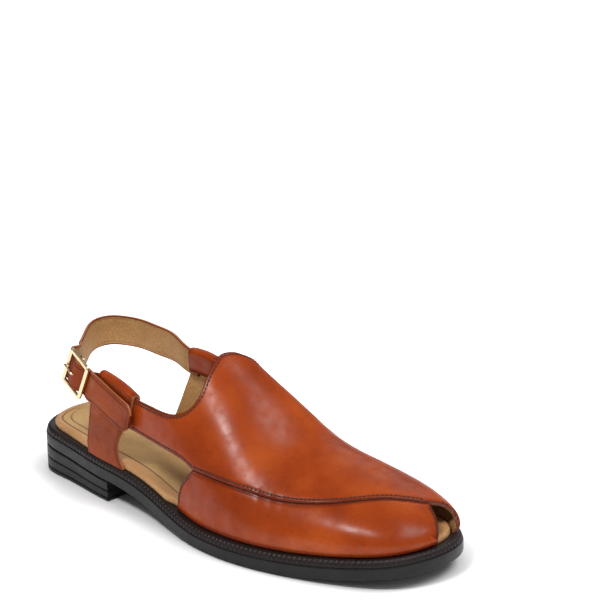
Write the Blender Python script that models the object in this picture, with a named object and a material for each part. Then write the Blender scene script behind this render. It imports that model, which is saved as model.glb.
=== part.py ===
"""Slingback leather sandal with a peep toe (a dress form of the peshawari chappal), right shoe.

The script builds one shoe as separate closed solids: heel block, outsole, ribbed welt, insole,
one hollow upper (vamp with tongue and wings, side panel, two looped posts), heel strap, buckle
strap, buckle frame and prong. Run it with: blender --background --python part.py

Design frame: millimetres, X to the outer (lateral) side, Y towards the toe, Z up, the floor at
Z = 0 and the back of the sole at Y = 0. Meshes are written in metres with the middle of the
sole's length and width over the origin.
"""

import math

import bmesh
import bpy
import numpy as np
from mathutils import Matrix, Vector
from mathutils.geometry import delaunay_2d_cdt

# ---------------------------------------------------------------- driving dimensions (mm)
MM = 0.001
SHOE_LENGTH = 300.0          # outsole, heel to toe
EDGE_SIDE = 7.6              # smooth side of the sole
EDGE_TOTAL = 11.3            # smooth side and ribbed welt together
LEDGE = 4.3                  # sole edge standing out beyond the upper
FIT_GAP = 0.3                # between pieces that touch on the real shoe
VAMP_WALL = 2.4              # vamp leather with its lining
SEAM_STEP = 1.1              # side panel lies this much under the vamp
POST_WALL = 2.2              # one leaf of a folded post
TUNNEL_GAP = 2.8             # between the two leaves, where strap and wing end go in
PATTERN_HALF = 75.0          # half width of the flat pattern that the upper is cut from
PATTERN_GRID = 6.2           # spacing of the pattern's inner points
PATTERN_EDGE = 4.6           # spacing of its edge points
RING_POINTS = 96             # points round the sole
HEEL_BREAST = 77.0           # front face of the heel
ARCH_HEIGHT = 12.4           # sole bottom over the floor at the heel breast
ARCH_END = 167.0             # where the arch meets the floor
HEEL_PITCH = 6.1             # extra height of the heel seat at the back
PITCH_END = 97.0
TOE_SPRING = 8.6
SPRING_START = 190.0
TOE_X = -5.0                 # sideways place of the toe's tip
TOE_CAP_START = 232.0        # the toe cap's curve down to the tip starts here
TOE_CAP_POWER = 2.5
TOE_SWING = 0.13             # radians that the last's tip lies to the inner side of the toe
SWING_START = 2.0
RIDGE_CENTRES = 255.0        # from here the ridge swings to the last's tip

WELT_INSET = 0.8             # ribbed welt's outer face behind the smooth side
WELT_INNER = 7.5
SEAT_INSET = 7.8             # step on the outsole that the welt lies round
INSOLE_OPEN_INSET = 4.6      # insole edge from the sole's edge where no upper stands
INSOLE_UPPER_INSET = 7.3     # and where the upper stands outside it
INSOLE_HEEL_INSET = 5.8      # and round the back of the heel
RIM_EDGE = 2.3               # spacing of the edge points round the toe opening
INSOLE_THICK = 3.6
HEEL_GROOVES = (0.18, 0.55)  # shares of the heel's height
GROOVE_DEPTH = 0.8
GROOVE_HEIGHT = 1.0
STRAP_WIDTH = 18.8
STRAP_THICK = 2.0
TIP_LENGTH = 5.5             # rounded end of the strap's tail
STRAP_STEP = 3.0             # spacing of the strap's cross sections
CHAPE_WIDTH = 13.5
CHAPE_THICK = 1.2
TUNNEL_UP = (0.0, 0.23, 0.97)           # across the outer tunnel's slope
BUCKLE_CENTRE = (36.5, 51.3, 74.0)
BUCKLE_ALONG = (0.149, 0.877, -0.457)   # from the rear bar to the front bar
BUCKLE_UP = (0.06, 0.453, 0.889)
BUCKLE_LENGTH = 17.6         # rear bar to front bar, centre lines
BUCKLE_HEIGHT = 23.4         # between the centre lines of the rails
BUCKLE_WIRE = 1.3            # radius of the frame
CENTRE_BAR_WIRE = 1.0
CENTRE_BAR_DROP = 2.6        # the centre bar lies this much nearer the foot
PRONG_WIRE = 0.8
PRONG_HOLE = -0.3            # place of the strap's prong hole, from the centre bar
OUTER_WING_END = 97.0        # a wing's end is thicker from here back, inside its tunnel
INNER_WING_END = 104.0
WING_END_SWELL = 0.7
FLAP_DROP = 12.0             # inner flap's length under the tunnel's top

# Sole outline: one row a section, columns (y, inner edge x, outer edge x)
SOLE_SECTIONS = (
    (10.0, -27.6, 25.8),
    (35.0, -33.4, 31.8),
    (75.0, -33.0, 39.2),
    (110.0, -31.3, 43.2),
    (145.0, -35.6, 51.2),
    (178.0, -45.0, 57.0),
    (212.0, -50.7, 55.4),
    (245.0, -48.4, 47.8),
    (270.0, -41.6, 38.4),
    (288.0, -31.6, 26.4),
)

# Last: one row a section, columns (y, ridge height, ridge x, roundness, outer fullness, inner fullness)
LAST_SECTIONS = (
    (60.0, 150.0, 2.0, 2.6, 1.5, 3.0),
    (100.0, 134.0, 1.0, 2.6, 1.5, 3.0),
    (130.0, 111.0, 0.0, 2.3, 2.0, 3.0),
    (145.0, 99.4, -1.5, 2.1, 2.0, 2.0),
    (175.0, 77.8, -4.0, 2.0, 2.0, 2.0),
    (200.0, 58.8, -6.0, 2.0, 2.0, 2.0),
    (225.0, 50.6, -6.0, 2.05, 2.0, 2.8),
    (250.0, 45.5, -5.0, 2.15, 2.5, 5.0),
    (290.0, 41.6, -6.0, 2.3, 3.0, 6.8),
)

# Upper's edges on the last. Columns (station, girth): girth +1 outer feather line, 0 ridge, -1 inner
COLLAR = (
    (84.0, 0.80), (104.5, 0.773), (115.3, 0.734), (126.2, 0.68), (135.7, 0.612), (142.5, 0.536),
    (145.2, 0.481), (146.4, 0.42), (146.1, 0.354), (145.3, 0.308), (144.5, 0.24), (143.0, 0.155),
    (142.8, 0.109), (143.4, 0.066), (144.5, 0.023), (146.6, -0.041), (148.1, -0.122),
    (148.0, -0.251), (148.4, -0.36), (148.6, -0.42), (147.6, -0.48), (145.0, -0.536),
    (138.0, -0.612), (128.0, -0.679), (117.0, -0.733), (104.4, -0.773), (97.0, -0.784),
)
OUTER_WING_FOOT = ((80.0, 0.912), (94.8, 0.90), (108.6, 0.879), (131.5, 0.806), (147.0, 0.752),
                   (155.4, 0.743))
PANEL_REAR = ((155.4, 0.743), (150.4, 0.805), (145.5, 0.867), (141.8, 0.934), (139.2, 1.0))
SEAM = (
    (155.4, 0.743), (167.4, 0.708), (177.2, 0.678), (191.6, 0.624), (200.2, 0.594), (215.0, 0.556),
    (228.5, 0.508), (240.2, 0.435), (250.3, 0.33), (258.1, 0.217), (265.3, 0.10), (272.0, 0.004),
    (278.6, -0.107), (282.0, -0.202),
)
PANEL_FRONT = ((282.0, -0.202), (283.9, -0.172), (289.4, -0.095), (293.3, 0.002), (295.8, 0.148),
               (297.1, 0.391), (297.5, 0.68), (298.0, 1.0))
VAMP_RIM = ((282.0, -0.202), (284.2, -0.324), (285.3, -0.38), (288.6, -0.449), (292.2, -0.49),
            (295.3, -0.489), (297.0, -0.60), (298.2, -0.78), (298.6, -1.0))
INNER_WING_FOOT = (
    (96.0, -0.898), (110.0, -0.872), (125.0, -0.828), (136.0, -0.797),
    (142.0, -0.81), (146.0, -0.845), (147.0, -0.89), (145.5, -0.94), (142.5, -1.0),
)

# Posts, from the foot to the tunnel's top: columns (rear y, rear z, front y, front z)
OUTER_POST = (
    (55.0, 0.0, 89.5, 0.0), (55.5, 31.0, 86.2, 30.0), (57.0, 38.0, 85.5, 37.0),
    (58.7, 45.0, 88.5, 43.5), (60.2, 52.0, 94.0, 51.6), (61.8, 59.0, 98.0, 58.2),
    (65.4, 67.0, 100.0, 64.0), (71.4, 77.6, 101.5, 69.8),
)
INNER_POST = (
    (62.0, 0.0, 92.0, 0.0), (65.5, 31.0, 93.5, 31.0), (69.6, 39.5, 96.0, 39.5),
    (72.6, 46.0, 98.5, 46.0), (75.8, 53.0, 101.5, 53.0), (79.2, 60.0, 103.5, 60.0),
    (82.4, 68.0, 105.0, 68.0), (84.5, 77.6, 107.5, 76.2),
)

# Heel strap's centre line from the inner tunnel round the heel to the buckle: (x, y, z)
STRAP_ROUTE = (
    (-33.6, 63.0, 74.3), (-35.4, 47.6, 74.9), (-35.6, 32.5, 75.8), (-32.1, 21.2, 76.4),
    (-27.4, 14.6, 76.6), (-20.8, 12.0, 76.5), (-12.4, 13.8, 76.4), (-0.7, 21.4, 76.3),
    (13.3, 32.6, 76.5), (22.0, 37.4, 76.9),
)
TAIL_ROUTE = ((70.0, 68.3), (80.0, 64.7), (90.0, 61.2), (102.0, 57.2))    # (y, z) beside the outer tunnel


# ---------------------------------------------------------------- curves
class Spline:
    """Cubic spline through knots, natural at its ends or closed on itself."""

    def __init__(self, knots, values, closed=False):
        self.knots = np.asarray(knots, float)
        self.values = np.asarray(values, float)
        self.closed = closed
        self.steps = np.diff(self.knots)
        self.curvature = self._solve()

    def _solve(self):
        count = len(self.knots)
        slopes = np.diff(self.values) / self.steps
        matrix = np.eye(count)
        right = np.zeros(count)
        for i in range(1, count - 1):
            matrix[i, i - 1:i + 2] = (self.steps[i - 1],
                                      2.0 * (self.steps[i - 1] + self.steps[i]),
                                      self.steps[i])
            right[i] = 6.0 * (slopes[i] - slopes[i - 1])
        if self.closed:
            matrix[0, 0], matrix[0, 1] = 2.0 * (self.steps[0] + self.steps[-1]), self.steps[0]
            matrix[0, count - 2] += self.steps[-1]
            right[0] = 6.0 * (slopes[0] - slopes[-1])
            matrix[-1, 0], matrix[-1, -1] = -1.0, 1.0
        return np.linalg.solve(matrix, right)

    def __call__(self, where):
        where = np.asarray(where, float)
        first, last = self.knots[0], self.knots[-1]
        if self.closed:
            where = first + np.mod(where - first, last - first)
        else:
            where = np.clip(where, first, last)
        i = np.clip(np.searchsorted(self.knots, where, side="right") - 1, 0, len(self.steps) - 1)
        step = self.steps[i]
        before = (self.knots[i + 1] - where) / step
        after = (where - self.knots[i]) / step
        bend = ((before ** 3 - before) * self.curvature[i]
                + (after ** 3 - after) * self.curvature[i + 1]) * step ** 2 / 6.0
        return before * self.values[i] + after * self.values[i + 1] + bend


def smoothstep(t):
    t = np.clip(t, 0.0, 1.0)
    return t * t * (3.0 - 2.0 * t)


# ---------------------------------------------------------------- sole shape
def sole_bottom(y):
    """Height of the outsole's lower edge over the floor: heel seat, arch, flat tread, toe spring."""
    y = np.asarray(y, float)
    arch = ARCH_HEIGHT * (1.0 - smoothstep((y - HEEL_BREAST) / (ARCH_END - HEEL_BREAST)))
    pitch = HEEL_PITCH * np.clip((PITCH_END - y) / PITCH_END, 0.0, None) ** 2
    spring = TOE_SPRING * np.clip((y - SPRING_START) / (SHOE_LENGTH - SPRING_START), 0.0, None) ** 2
    return arch + pitch + spring


def angle_of(y):
    """Angle round the outline whose point on the outer side lies at length y."""
    return np.arccos(1.0 - 2.0 * np.clip(np.asarray(y, float) / SHOE_LENGTH, 0.0, 1.0))


def _outline_spline():
    angles = [0.0] + [angle_of(row[0]) for row in SOLE_SECTIONS] + [math.pi]
    across = [0.0] + [row[2] for row in SOLE_SECTIONS] + [TOE_X]
    angles += [2.0 * math.pi - angle_of(row[0]) for row in reversed(SOLE_SECTIONS)] + [2.0 * math.pi]
    across += [row[1] for row in reversed(SOLE_SECTIONS)] + [0.0]
    return Spline(angles, across, closed=True)


OUTLINE_X = _outline_spline()


def outline(angle, inset=0.0):
    """Point of the sole's outline, moved inwards by inset. Angle 0 is the heel, pi the toe."""
    angle = np.asarray(angle, float)
    point = np.stack([OUTLINE_X(angle), SHOE_LENGTH / 2.0 * (1.0 - np.cos(angle))], -1)
    return point - outline_normal(angle) * np.asarray(inset, float)[..., None]


def outline_normal(angle):
    """Unit vector pointing out of the outline, in the floor's plane."""
    step = 1e-3
    angle = np.asarray(angle, float)
    along = np.stack([OUTLINE_X(angle + step) - OUTLINE_X(angle - step),
                      SHOE_LENGTH / 2.0 * (np.cos(angle - step) - np.cos(angle + step))], -1)
    normal = np.stack([along[..., 1], -along[..., 0]], -1)
    return normal / np.linalg.norm(normal, axis=-1, keepdims=True)


RING_SPREAD = outline(np.linspace(0.0, 2.0 * math.pi, 721))[:, 0]
FRAME_ORIGIN = np.array(((RING_SPREAD.min() + RING_SPREAD.max()) / 2.0, SHOE_LENGTH / 2.0, 0.0))


# ---------------------------------------------------------------- last
LAST = np.array(LAST_SECTIONS)
RIDGE_HEIGHT = Spline(LAST[:, 0], LAST[:, 1])
RIDGE_X = Spline(LAST[:, 0], LAST[:, 2])
ROUNDNESS = Spline(LAST[:, 0], LAST[:, 3])
OUTER_FULLNESS = Spline(LAST[:, 0], LAST[:, 4])
INNER_FULLNESS = Spline(LAST[:, 0], LAST[:, 5])
TIP_Y = float(outline(math.pi + TOE_SWING, LEDGE)[1])


def rib_angles(station):
    """Outline angles of a rib's outer and inner ends; near the toe both swing to its inner side."""
    base = angle_of(station)
    swing = TOE_SWING * smoothstep((base - SWING_START) / (math.pi - SWING_START))
    return base + swing, 2.0 * math.pi - base + swing


def last_point(station, girth):
    """Point of the upper's outer surface.

    station: length along the outline; girth: +1 at the outer feather line, 0 on the ridge,
    -1 at the inner feather line.
    """
    station, girth = np.broadcast_arrays(np.asarray(station, float), np.asarray(girth, float))
    outer = girth >= 0.0
    outer_angle, inner_angle = rib_angles(station)
    ledge = np.full(station.shape, LEDGE)
    outer_end, inner_end = outline(outer_angle, ledge), outline(inner_angle, ledge)
    angle = np.where(outer, outer_angle, inner_angle)
    feather = np.where(outer[..., None], outer_end, inner_end)
    out = outline_normal(angle)
    middle = (outer_end + inner_end) / 2.0
    ridge_y = middle[..., 1]
    centre = smoothstep((ridge_y - RIDGE_CENTRES) / (TIP_Y - RIDGE_CENTRES))
    ridge_x = RIDGE_X(ridge_y) * (1.0 - centre) + middle[..., 0] * centre
    cap = np.clip((ridge_y - TOE_CAP_START) / (TIP_Y - TOE_CAP_START), 0.0, 1.0)
    cap = (1.0 - cap ** TOE_CAP_POWER) ** (1.0 / TOE_CAP_POWER)
    bed = sole_bottom(ridge_y) + EDGE_TOTAL + FIT_GAP
    ridge_z = bed + (RIDGE_HEIGHT(ridge_y) - bed) * cap
    foot = sole_bottom(feather[..., 1]) + EDGE_TOTAL + FIT_GAP
    power = 2.0 / ROUNDNESS(ridge_y)
    climb = np.clip(1.0 - np.abs(girth), 0.0, 1.0)
    turn = climb * math.pi / 2.0
    inward = np.clip(np.cos(turn), 0.0, 1.0) ** power
    upward = np.sin(turn) ** power
    full = np.where(outer, OUTER_FULLNESS(ridge_y), INNER_FULLNESS(ridge_y))
    full = full * 6.75 * climb * (1.0 - climb) ** 2 * np.abs(np.sin(angle_of(station))) ** 0.5
    x = ridge_x + (feather[..., 0] - ridge_x) * inward + out[..., 0] * full
    y = ridge_y + (feather[..., 1] - ridge_y) * inward + out[..., 1] * full
    return np.stack([x, y, foot + (ridge_z - foot) * upward], -1)


def solve_girth(y, z, side):
    """Station and girth of the last's outer surface at length y and height z on one side."""
    station = float(y)
    girth = 1.0
    for _ in range(8):
        low, high = 0.0, 1.0
        for _ in range(22):
            middle = (low + high) / 2.0
            if last_point(station, side * middle)[2] > z:
                low = middle
            else:
                high = middle
        girth = (low + high) / 2.0
        station += y - float(last_point(station, side * girth)[1])
    return station, side * girth


def lasted(station, girth, lift):
    """Point on the last moved out along its normal by lift; at the feather it moves level."""
    station, girth, lift = np.broadcast_arrays(np.asarray(station, float), np.asarray(girth, float),
                                               np.asarray(lift, float))
    step_along, step_round = 0.4, 0.004
    along = last_point(station + step_along, girth) - last_point(station - step_along, girth)
    round_ = last_point(station, girth + step_round) - last_point(station, girth - step_round)
    normal = np.cross(round_, along)
    level = smoothstep((1.0 - np.abs(girth)) / 0.08)
    normal[..., 2] *= level
    normal /= np.linalg.norm(normal, axis=-1, keepdims=True)
    return last_point(station, girth) + normal * lift[..., None]


# ---------------------------------------------------------------- flat pattern of the upper
def to_pattern(rows):
    """Flat pattern coordinates of (station, girth) rows: an ellipse as long as the sole."""
    rows = np.asarray(rows, float)
    half = PATTERN_HALF * np.sin(angle_of(rows[..., 0]))
    return np.stack([rows[..., 0], rows[..., 1] * half], -1)


def from_pattern(points):
    """Station and girth of flat pattern points."""
    half = PATTERN_HALF * np.sin(angle_of(points[..., 0]))
    return points[..., 0], np.clip(points[..., 1] / half, -1.0, 1.0)


def pattern_edge(rows, spacing=PATTERN_EDGE):
    """Smooth edge through (station, girth) rows, as evenly spaced pattern points."""
    points = to_pattern(rows)
    lengths = np.concatenate([[0.0], np.cumsum(np.linalg.norm(np.diff(points, axis=0), axis=1))])
    count = max(2, int(round(lengths[-1] / spacing)))
    places = np.linspace(0.0, lengths[-1], count + 1)
    smooth = np.stack([Spline(lengths, points[:, 0])(places), Spline(lengths, points[:, 1])(places)], -1)
    smooth[0], smooth[-1] = points[0], points[-1]
    return smooth


def feather_edge(start, end, side):
    """Pattern's edge along a feather line between two stations."""
    angles = np.linspace(angle_of(start), angle_of(end), 40)
    rows = np.stack([SHOE_LENGTH / 2.0 * (1.0 - np.cos(angles)), np.full(40, float(side))], -1)
    points = pattern_edge(rows)
    half = PATTERN_HALF * np.sin(angle_of(points[:, 0]))
    points[:, 1] = side * half
    return points


def inside(points, polygon):
    """Whether each point lies inside a polygon (crossing count)."""
    x, y = points[:, 0][:, None], points[:, 1][:, None]
    ax, ay = polygon[:, 0], polygon[:, 1]
    bx, by = np.roll(ax, -1), np.roll(ay, -1)
    crosses = (ay > y) != (by > y)
    with np.errstate(divide="ignore", invalid="ignore"):
        where = ax + (y - ay) * (bx - ax) / (by - ay)
    return (np.sum(crosses & (x < where), axis=1) % 2).astype(bool)


def distance_to_edge(points, polygon):
    """Shortest distance of each point to a polygon's edge."""
    start = polygon[None]
    run = np.roll(polygon, -1, axis=0)[None] - start
    offset = points[:, None] - start
    share = np.clip(np.sum(offset * run, -1) / np.maximum(np.sum(run * run, -1), 1e-12), 0.0, 1.0)
    return np.min(np.linalg.norm(offset - share[..., None] * run, axis=-1), axis=1)


def filling(polygon):
    """Evenly spaced points inside a polygon, in staggered rows."""
    low, high = polygon.min(axis=0), polygon.max(axis=0)
    row_step = PATTERN_GRID * math.sqrt(0.75)
    points = []
    for row in range(int((high[1] - low[1]) / row_step) + 1):
        shift = PATTERN_GRID / 2.0 if row % 2 else 0.0
        for column in range(int((high[0] - low[0]) / PATTERN_GRID) + 2):
            points.append((low[0] + shift + column * PATTERN_GRID, low[1] + row * row_step))
    points = np.array(points)
    points = points[inside(points, polygon)]
    return points[distance_to_edge(points, polygon) > 0.55 * PATTERN_GRID]


def joined(*edges):
    """One closed polygon from edges given end to end, each without its last point."""
    return np.concatenate([edge[:-1] for edge in edges])


def straight(start, end):
    """Pattern edge straight between two (station, girth) rows."""
    ends = to_pattern((start, end))
    count = max(1, int(round(np.linalg.norm(ends[1] - ends[0]) / PATTERN_EDGE)))
    share = np.linspace(0.0, 1.0, count + 1)[:, None]
    return ends[0] * (1.0 - share) + ends[1] * share


# ---------------------------------------------------------------- mesh helpers
def ring_of(inset, height_over_bottom, count=RING_POINTS):
    """Closed ring round the sole: inset from the outline, at a height over the sole's bottom."""
    angles = np.arange(count) * 2.0 * math.pi / count
    flat = outline(angles, np.broadcast_to(inset, angles.shape))
    heights = sole_bottom(flat[:, 1]) + height_over_bottom
    return np.concatenate([flat, heights[:, None]], axis=1)


def ladder(first, count):
    """Quads across a ring whose points i and count - i lie opposite each other."""
    faces = []
    for i in range(1, count // 2):
        left, right = first + i, first + count - i
        if i == 1:
            faces.append((first, left, right))
        else:
            faces.append((left - 1, left, right, right + 1))
    last = first + count // 2
    faces.append((last - 1, last, last + 1))
    return faces


def loft(rings, closed_section=False):
    """Vertices and side faces between rings of equal count; closed_section joins last to first."""
    count = len(rings[0])
    vertices = np.concatenate(rings)
    faces = []
    spans = len(rings) if closed_section else len(rings) - 1
    for ring in range(spans):
        start, after = ring * count, (ring + 1) % len(rings) * count
        for i in range(count):
            j = (i + 1) % count
            faces.append((start + i, start + j, after + j, after + i))
    return vertices, faces


def band_loft(sections):
    """Closed band from sections of four or more points each, with both ends filled."""
    vertices, faces = loft(sections)
    count = len(sections[0])
    faces.append(tuple(range(count)))
    faces.append(tuple(len(vertices) - count + i for i in range(count)))
    return vertices, faces


def new_object(name, vertices, faces, finish, collection, smooth=True):
    """Object from millimetre vertices, with its normals turned outwards."""
    mesh = bpy.data.meshes.new(name)
    placed = (np.asarray(vertices, float) - FRAME_ORIGIN) * MM
    mesh.from_pydata(placed.tolist(), [], [tuple(int(i) for i in face) for face in faces])
    work = bmesh.new()
    work.from_mesh(mesh)
    bmesh.ops.remove_doubles(work, verts=work.verts, dist=1e-6)
    bmesh.ops.recalc_face_normals(work, faces=work.faces)
    work.to_mesh(mesh)
    work.free()
    if smooth:
        mesh.shade_smooth()
        mesh.set_sharp_from_angle(angle=math.radians(35.0))
    mesh.materials.append(finish)
    made = bpy.data.objects.new(name, mesh)
    collection.objects.link(made)
    return made


def make_finish(name, colour, roughness, metallic=0.0):
    """Principled finish."""
    finish = bpy.data.materials.new(name)
    finish.use_nodes = True
    shader = finish.node_tree.nodes["Principled BSDF"]
    shader.inputs["Base Color"].default_value = (*colour, 1.0)
    shader.inputs["Roughness"].default_value = roughness
    shader.inputs["Metallic"].default_value = metallic
    return finish


def as_cutter(made):
    """Marks an object as a helper for a Boolean modifier."""
    made.hide_render = True
    made.display_type = "WIRE"
    return made


def boolean(target, operand, operation):
    """Adds an exact Boolean modifier."""
    modifier = target.modifiers.new(operation.title() + " " + operand.name, "BOOLEAN")
    modifier.operation = operation
    modifier.solver = "EXACT"
    modifier.object = operand


# ---------------------------------------------------------------- sole
def build_heel(finish, collection):
    """Heel block: follows the outline at the back, flat breast in front, two grooves round it."""
    count = 44
    breast_angle = float(angle_of(HEEL_BREAST))
    angles = np.linspace(-breast_angle, breast_angle, count)

    def ring(inset, share):
        flat = outline(angles, np.full(count, inset))
        flat[:, 1] = np.minimum(flat[:, 1], HEEL_BREAST)
        top = sole_bottom(flat[:, 1]) - FIT_GAP
        return np.concatenate([flat, (top * share)[:, None]], axis=1)

    full_height = float(sole_bottom(HEEL_BREAST))
    half_groove = GROOVE_HEIGHT / 2.0 / full_height
    rings = [ring(1.0, 0.0), ring(0.0, 1.0 / full_height)]
    for share in HEEL_GROOVES:
        rings += [ring(0.0, share - half_groove), ring(GROOVE_DEPTH, share),
                  ring(0.0, share + half_groove)]
    rings += [ring(0.0, 0.96), ring(0.6, 1.0)]
    vertices, faces = loft(rings)
    for first in (0, len(vertices) - count):
        for i in range(count // 2 - 1):
            faces.append((first + i, first + i + 1, first + count - 2 - i, first + count - 1 - i))
    return new_object("heel", vertices, faces, finish, collection)


def build_outsole(finish, collection):
    """Outsole with arch and toe spring, smooth side, and a seat that the welt lies round."""
    rings = [ring_of(1.2, 0.0), ring_of(0.3, 0.3), ring_of(0.0, 1.2), ring_of(0.0, EDGE_SIDE - 0.5),
             ring_of(0.5, EDGE_SIDE), ring_of(SEAT_INSET, EDGE_SIDE), ring_of(SEAT_INSET, EDGE_TOTAL)]
    vertices, faces = loft(rings)
    faces += ladder(0, RING_POINTS) + ladder(len(vertices) - RING_POINTS, RING_POINTS)
    return new_object("outsole", vertices, faces, finish, collection)


def build_welt(finish, collection):
    """Welt round the whole sole, between its smooth side and the upper."""
    low = EDGE_SIDE + FIT_GAP
    rings = [ring_of(WELT_INSET, low), ring_of(WELT_INSET, EDGE_TOTAL - 0.6),
             ring_of(WELT_INSET + 0.6, EDGE_TOTAL), ring_of(WELT_INNER, EDGE_TOTAL),
             ring_of(WELT_INNER, low)]
    vertices, faces = loft(rings, closed_section=True)
    return new_object("welt", vertices, faces, finish, collection)


def insole_inset(angles):
    """Insole's distance from the sole's edge: larger where the upper stands beside it."""
    y = SHOE_LENGTH / 2.0 * (1.0 - np.cos(angles))
    soft = 7.0
    starts = np.where(np.sin(angles) >= 0.0, PANEL_REAR[-1][0], INNER_WING_FOOT[-1][0])
    covered = smoothstep((y - starts + soft + 4.0) / soft)
    heel = 1.0 - smoothstep((y - 10.0) / 40.0)
    open_inset = INSOLE_OPEN_INSET + (INSOLE_HEEL_INSET - INSOLE_OPEN_INSET) * heel
    return open_inset + (INSOLE_UPPER_INSET - open_inset) * covered


def build_insole(finish, collection):
    """Leather-covered insole board, rounded at its upper edge."""
    angles = np.arange(RING_POINTS) * 2.0 * math.pi / RING_POINTS
    inset = insole_inset(angles)
    low = EDGE_TOTAL + FIT_GAP
    rings = [ring_of(inset, low), ring_of(inset + 0.3, low + INSOLE_THICK - 1.8),
             ring_of(inset + 1.1, low + INSOLE_THICK - 0.5), ring_of(inset + 2.6, low + INSOLE_THICK)]
    vertices, faces = loft(rings)
    faces += ladder(0, RING_POINTS) + ladder(len(vertices) - RING_POINTS, RING_POINTS)
    return new_object("insole", vertices, faces, finish, collection)


# ---------------------------------------------------------------- upper
def upper_leaf():
    """Vamp, tongue, wings and side panel as one wall with a step at the seam."""
    seam = pattern_edge(SEAM)
    vamp = joined(pattern_edge(COLLAR),
                  straight(COLLAR[-1], INNER_WING_FOOT[0]),
                  pattern_edge(INNER_WING_FOOT),
                  feather_edge(INNER_WING_FOOT[-1][0], VAMP_RIM[-1][0], -1),
                  pattern_edge(VAMP_RIM, RIM_EDGE)[::-1],
                  seam[::-1],
                  pattern_edge(OUTER_WING_FOOT)[::-1],
                  straight(OUTER_WING_FOOT[0], COLLAR[0]))
    panel = joined(seam,
                   pattern_edge(PANEL_FRONT, RIM_EDGE),
                   feather_edge(PANEL_REAR[-1][0], PANEL_FRONT[-1][0], 1)[::-1],
                   pattern_edge(PANEL_REAR)[::-1])
    places, index = [], {}

    def number(point):
        key = (round(float(point[0]), 5), round(float(point[1]), 5))
        if key not in index:
            index[key] = len(places)
            places.append(Vector(key))
        return index[key]

    outlines = [[number(point) for point in polygon] for polygon in (vamp, panel)]
    for polygon in (vamp, panel):
        for point in filling(polygon):
            number(point)
    flat, _, triangles, _, _, owners = delaunay_2d_cdt(places, [], outlines, 1, 1e-5)
    flat = np.array([(point.x, point.y) for point in flat])
    station, girth = from_pattern(flat)
    in_panel = [0 not in owner for owner in owners]
    wing_end = np.where(girth > 0.0, OUTER_WING_END, INNER_WING_END)
    hidden_end = smoothstep((wing_end - station) / 5.0) * WING_END_SWELL
    layers = {
        "vamp": lasted(station, girth, hidden_end),
        "panel": lasted(station, girth, -SEAM_STEP),
        "inner": lasted(station, girth, -VAMP_WALL - hidden_end),
    }
    vertices, faces = [], []
    numbers = {}

    def vertex(layer, i):
        if (layer, i) not in numbers:
            numbers[layer, i] = len(vertices)
            vertices.append(layers[layer][i])
        return numbers[layer, i]

    sides = {}
    for triangle, panel_face in zip(triangles, in_panel):
        layer = "panel" if panel_face else "vamp"
        faces.append([vertex(layer, i) for i in triangle])
        faces.append([vertex("inner", i) for i in reversed(triangle)])
        for a, b in zip(triangle, list(triangle[1:]) + [triangle[0]]):
            sides.setdefault((min(a, b), max(a, b)), []).append(layer)
    seam_ends = {}
    for (a, b), owners_of_edge in sides.items():
        if len(owners_of_edge) == 1:
            layer = owners_of_edge[0]
            faces.append([vertex(layer, a), vertex(layer, b), vertex("inner", b), vertex("inner", a)])
        elif owners_of_edge[0] != owners_of_edge[1]:
            faces.append([vertex("vamp", a), vertex("vamp", b), vertex("panel", b), vertex("panel", a)])
            for end in (a, b):
                seam_ends[end] = seam_ends.get(end, 0) + 1
    for end, uses in seam_ends.items():
        if uses == 1:
            faces.append([vertex("vamp", end), vertex("panel", end), vertex("inner", end)])
    return np.array(vertices), faces


def post_leaf(rows, side):
    """Post: rises from the insole, folds over at the tunnel and hangs down inside."""
    edges = []
    for rear_y, rear_z, front_y, front_z in rows:
        rear = solve_girth(rear_y, rear_z, side) if rear_z > 0.0 else (rear_y, float(side))
        front = solve_girth(front_y, front_z, side) if front_z > 0.0 else (front_y, float(side))
        edges.append((rear, front))
    edges = np.array(edges)
    level = np.arange(len(rows))
    across = np.linspace(0.0, 1.0, 8)
    middle = -VAMP_WALL / 2.0
    radius_in = TUNNEL_GAP / 2.0
    radius_out = radius_in + POST_WALL

    def row(where, lift, over=0.0):
        ends = np.array([[Spline(level, edges[:, e, k])(where) for k in range(2)] for e in range(2)])
        rows_across = ends[0] * (1.0 - across)[:, None] + ends[1] * across[:, None]
        points = lasted(rows_across[:, 0], np.clip(rows_across[:, 1], -1.0, 1.0), lift)
        points[:, 2] += over
        return points

    top = float(level[-1])
    outer = [row(where, middle + radius_out) for where in np.linspace(0.0, top, 15)]
    inner = [row(where, middle + radius_in) for where in np.linspace(0.0, top, 15)]
    for turn in np.linspace(0.0, math.pi, 7)[1:-1]:
        outer.append(row(top, middle + radius_out * math.cos(turn), 2.6 * math.sin(turn)))
        inner.append(row(top, middle + radius_in * math.cos(turn), 1.2 * math.sin(turn)))
    fold = row(top, 0.0)
    for drop in np.linspace(0.0, FLAP_DROP, 5):
        outer.append(np.array([beside_post(y, z - drop, side, middle - radius_out) for _, y, z in fold]))
        inner.append(np.array([beside_post(y, z - drop, side, middle - radius_in) for _, y, z in fold]))
    sections = [np.concatenate([a, b[::-1]]) for a, b in zip(outer, inner)]
    vertices, faces = loft(sections)
    width = len(across)
    for first in (0, len(vertices) - 2 * width):
        for i in range(width - 1):
            faces.append((first + i, first + i + 1, first + 2 * width - 2 - i, first + 2 * width - 1 - i))
    return vertices, faces


def build_upper(finish, collection, cutters):
    """Hollow upper: lasted leather wall with both posts joined to the wings' ends."""
    upper = new_object("upper", *upper_leaf(), finish, collection)
    for name, rows, side in (("outer_post_form", OUTER_POST, 1), ("inner_post_form", INNER_POST, -1)):
        post = as_cutter(new_object(name, *post_leaf(rows, side), finish, cutters))
        boolean(upper, post, "UNION")
    return upper


# ---------------------------------------------------------------- heel strap and buckle
def unit(vector):
    return vector / np.linalg.norm(vector, axis=-1, keepdims=True)


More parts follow.
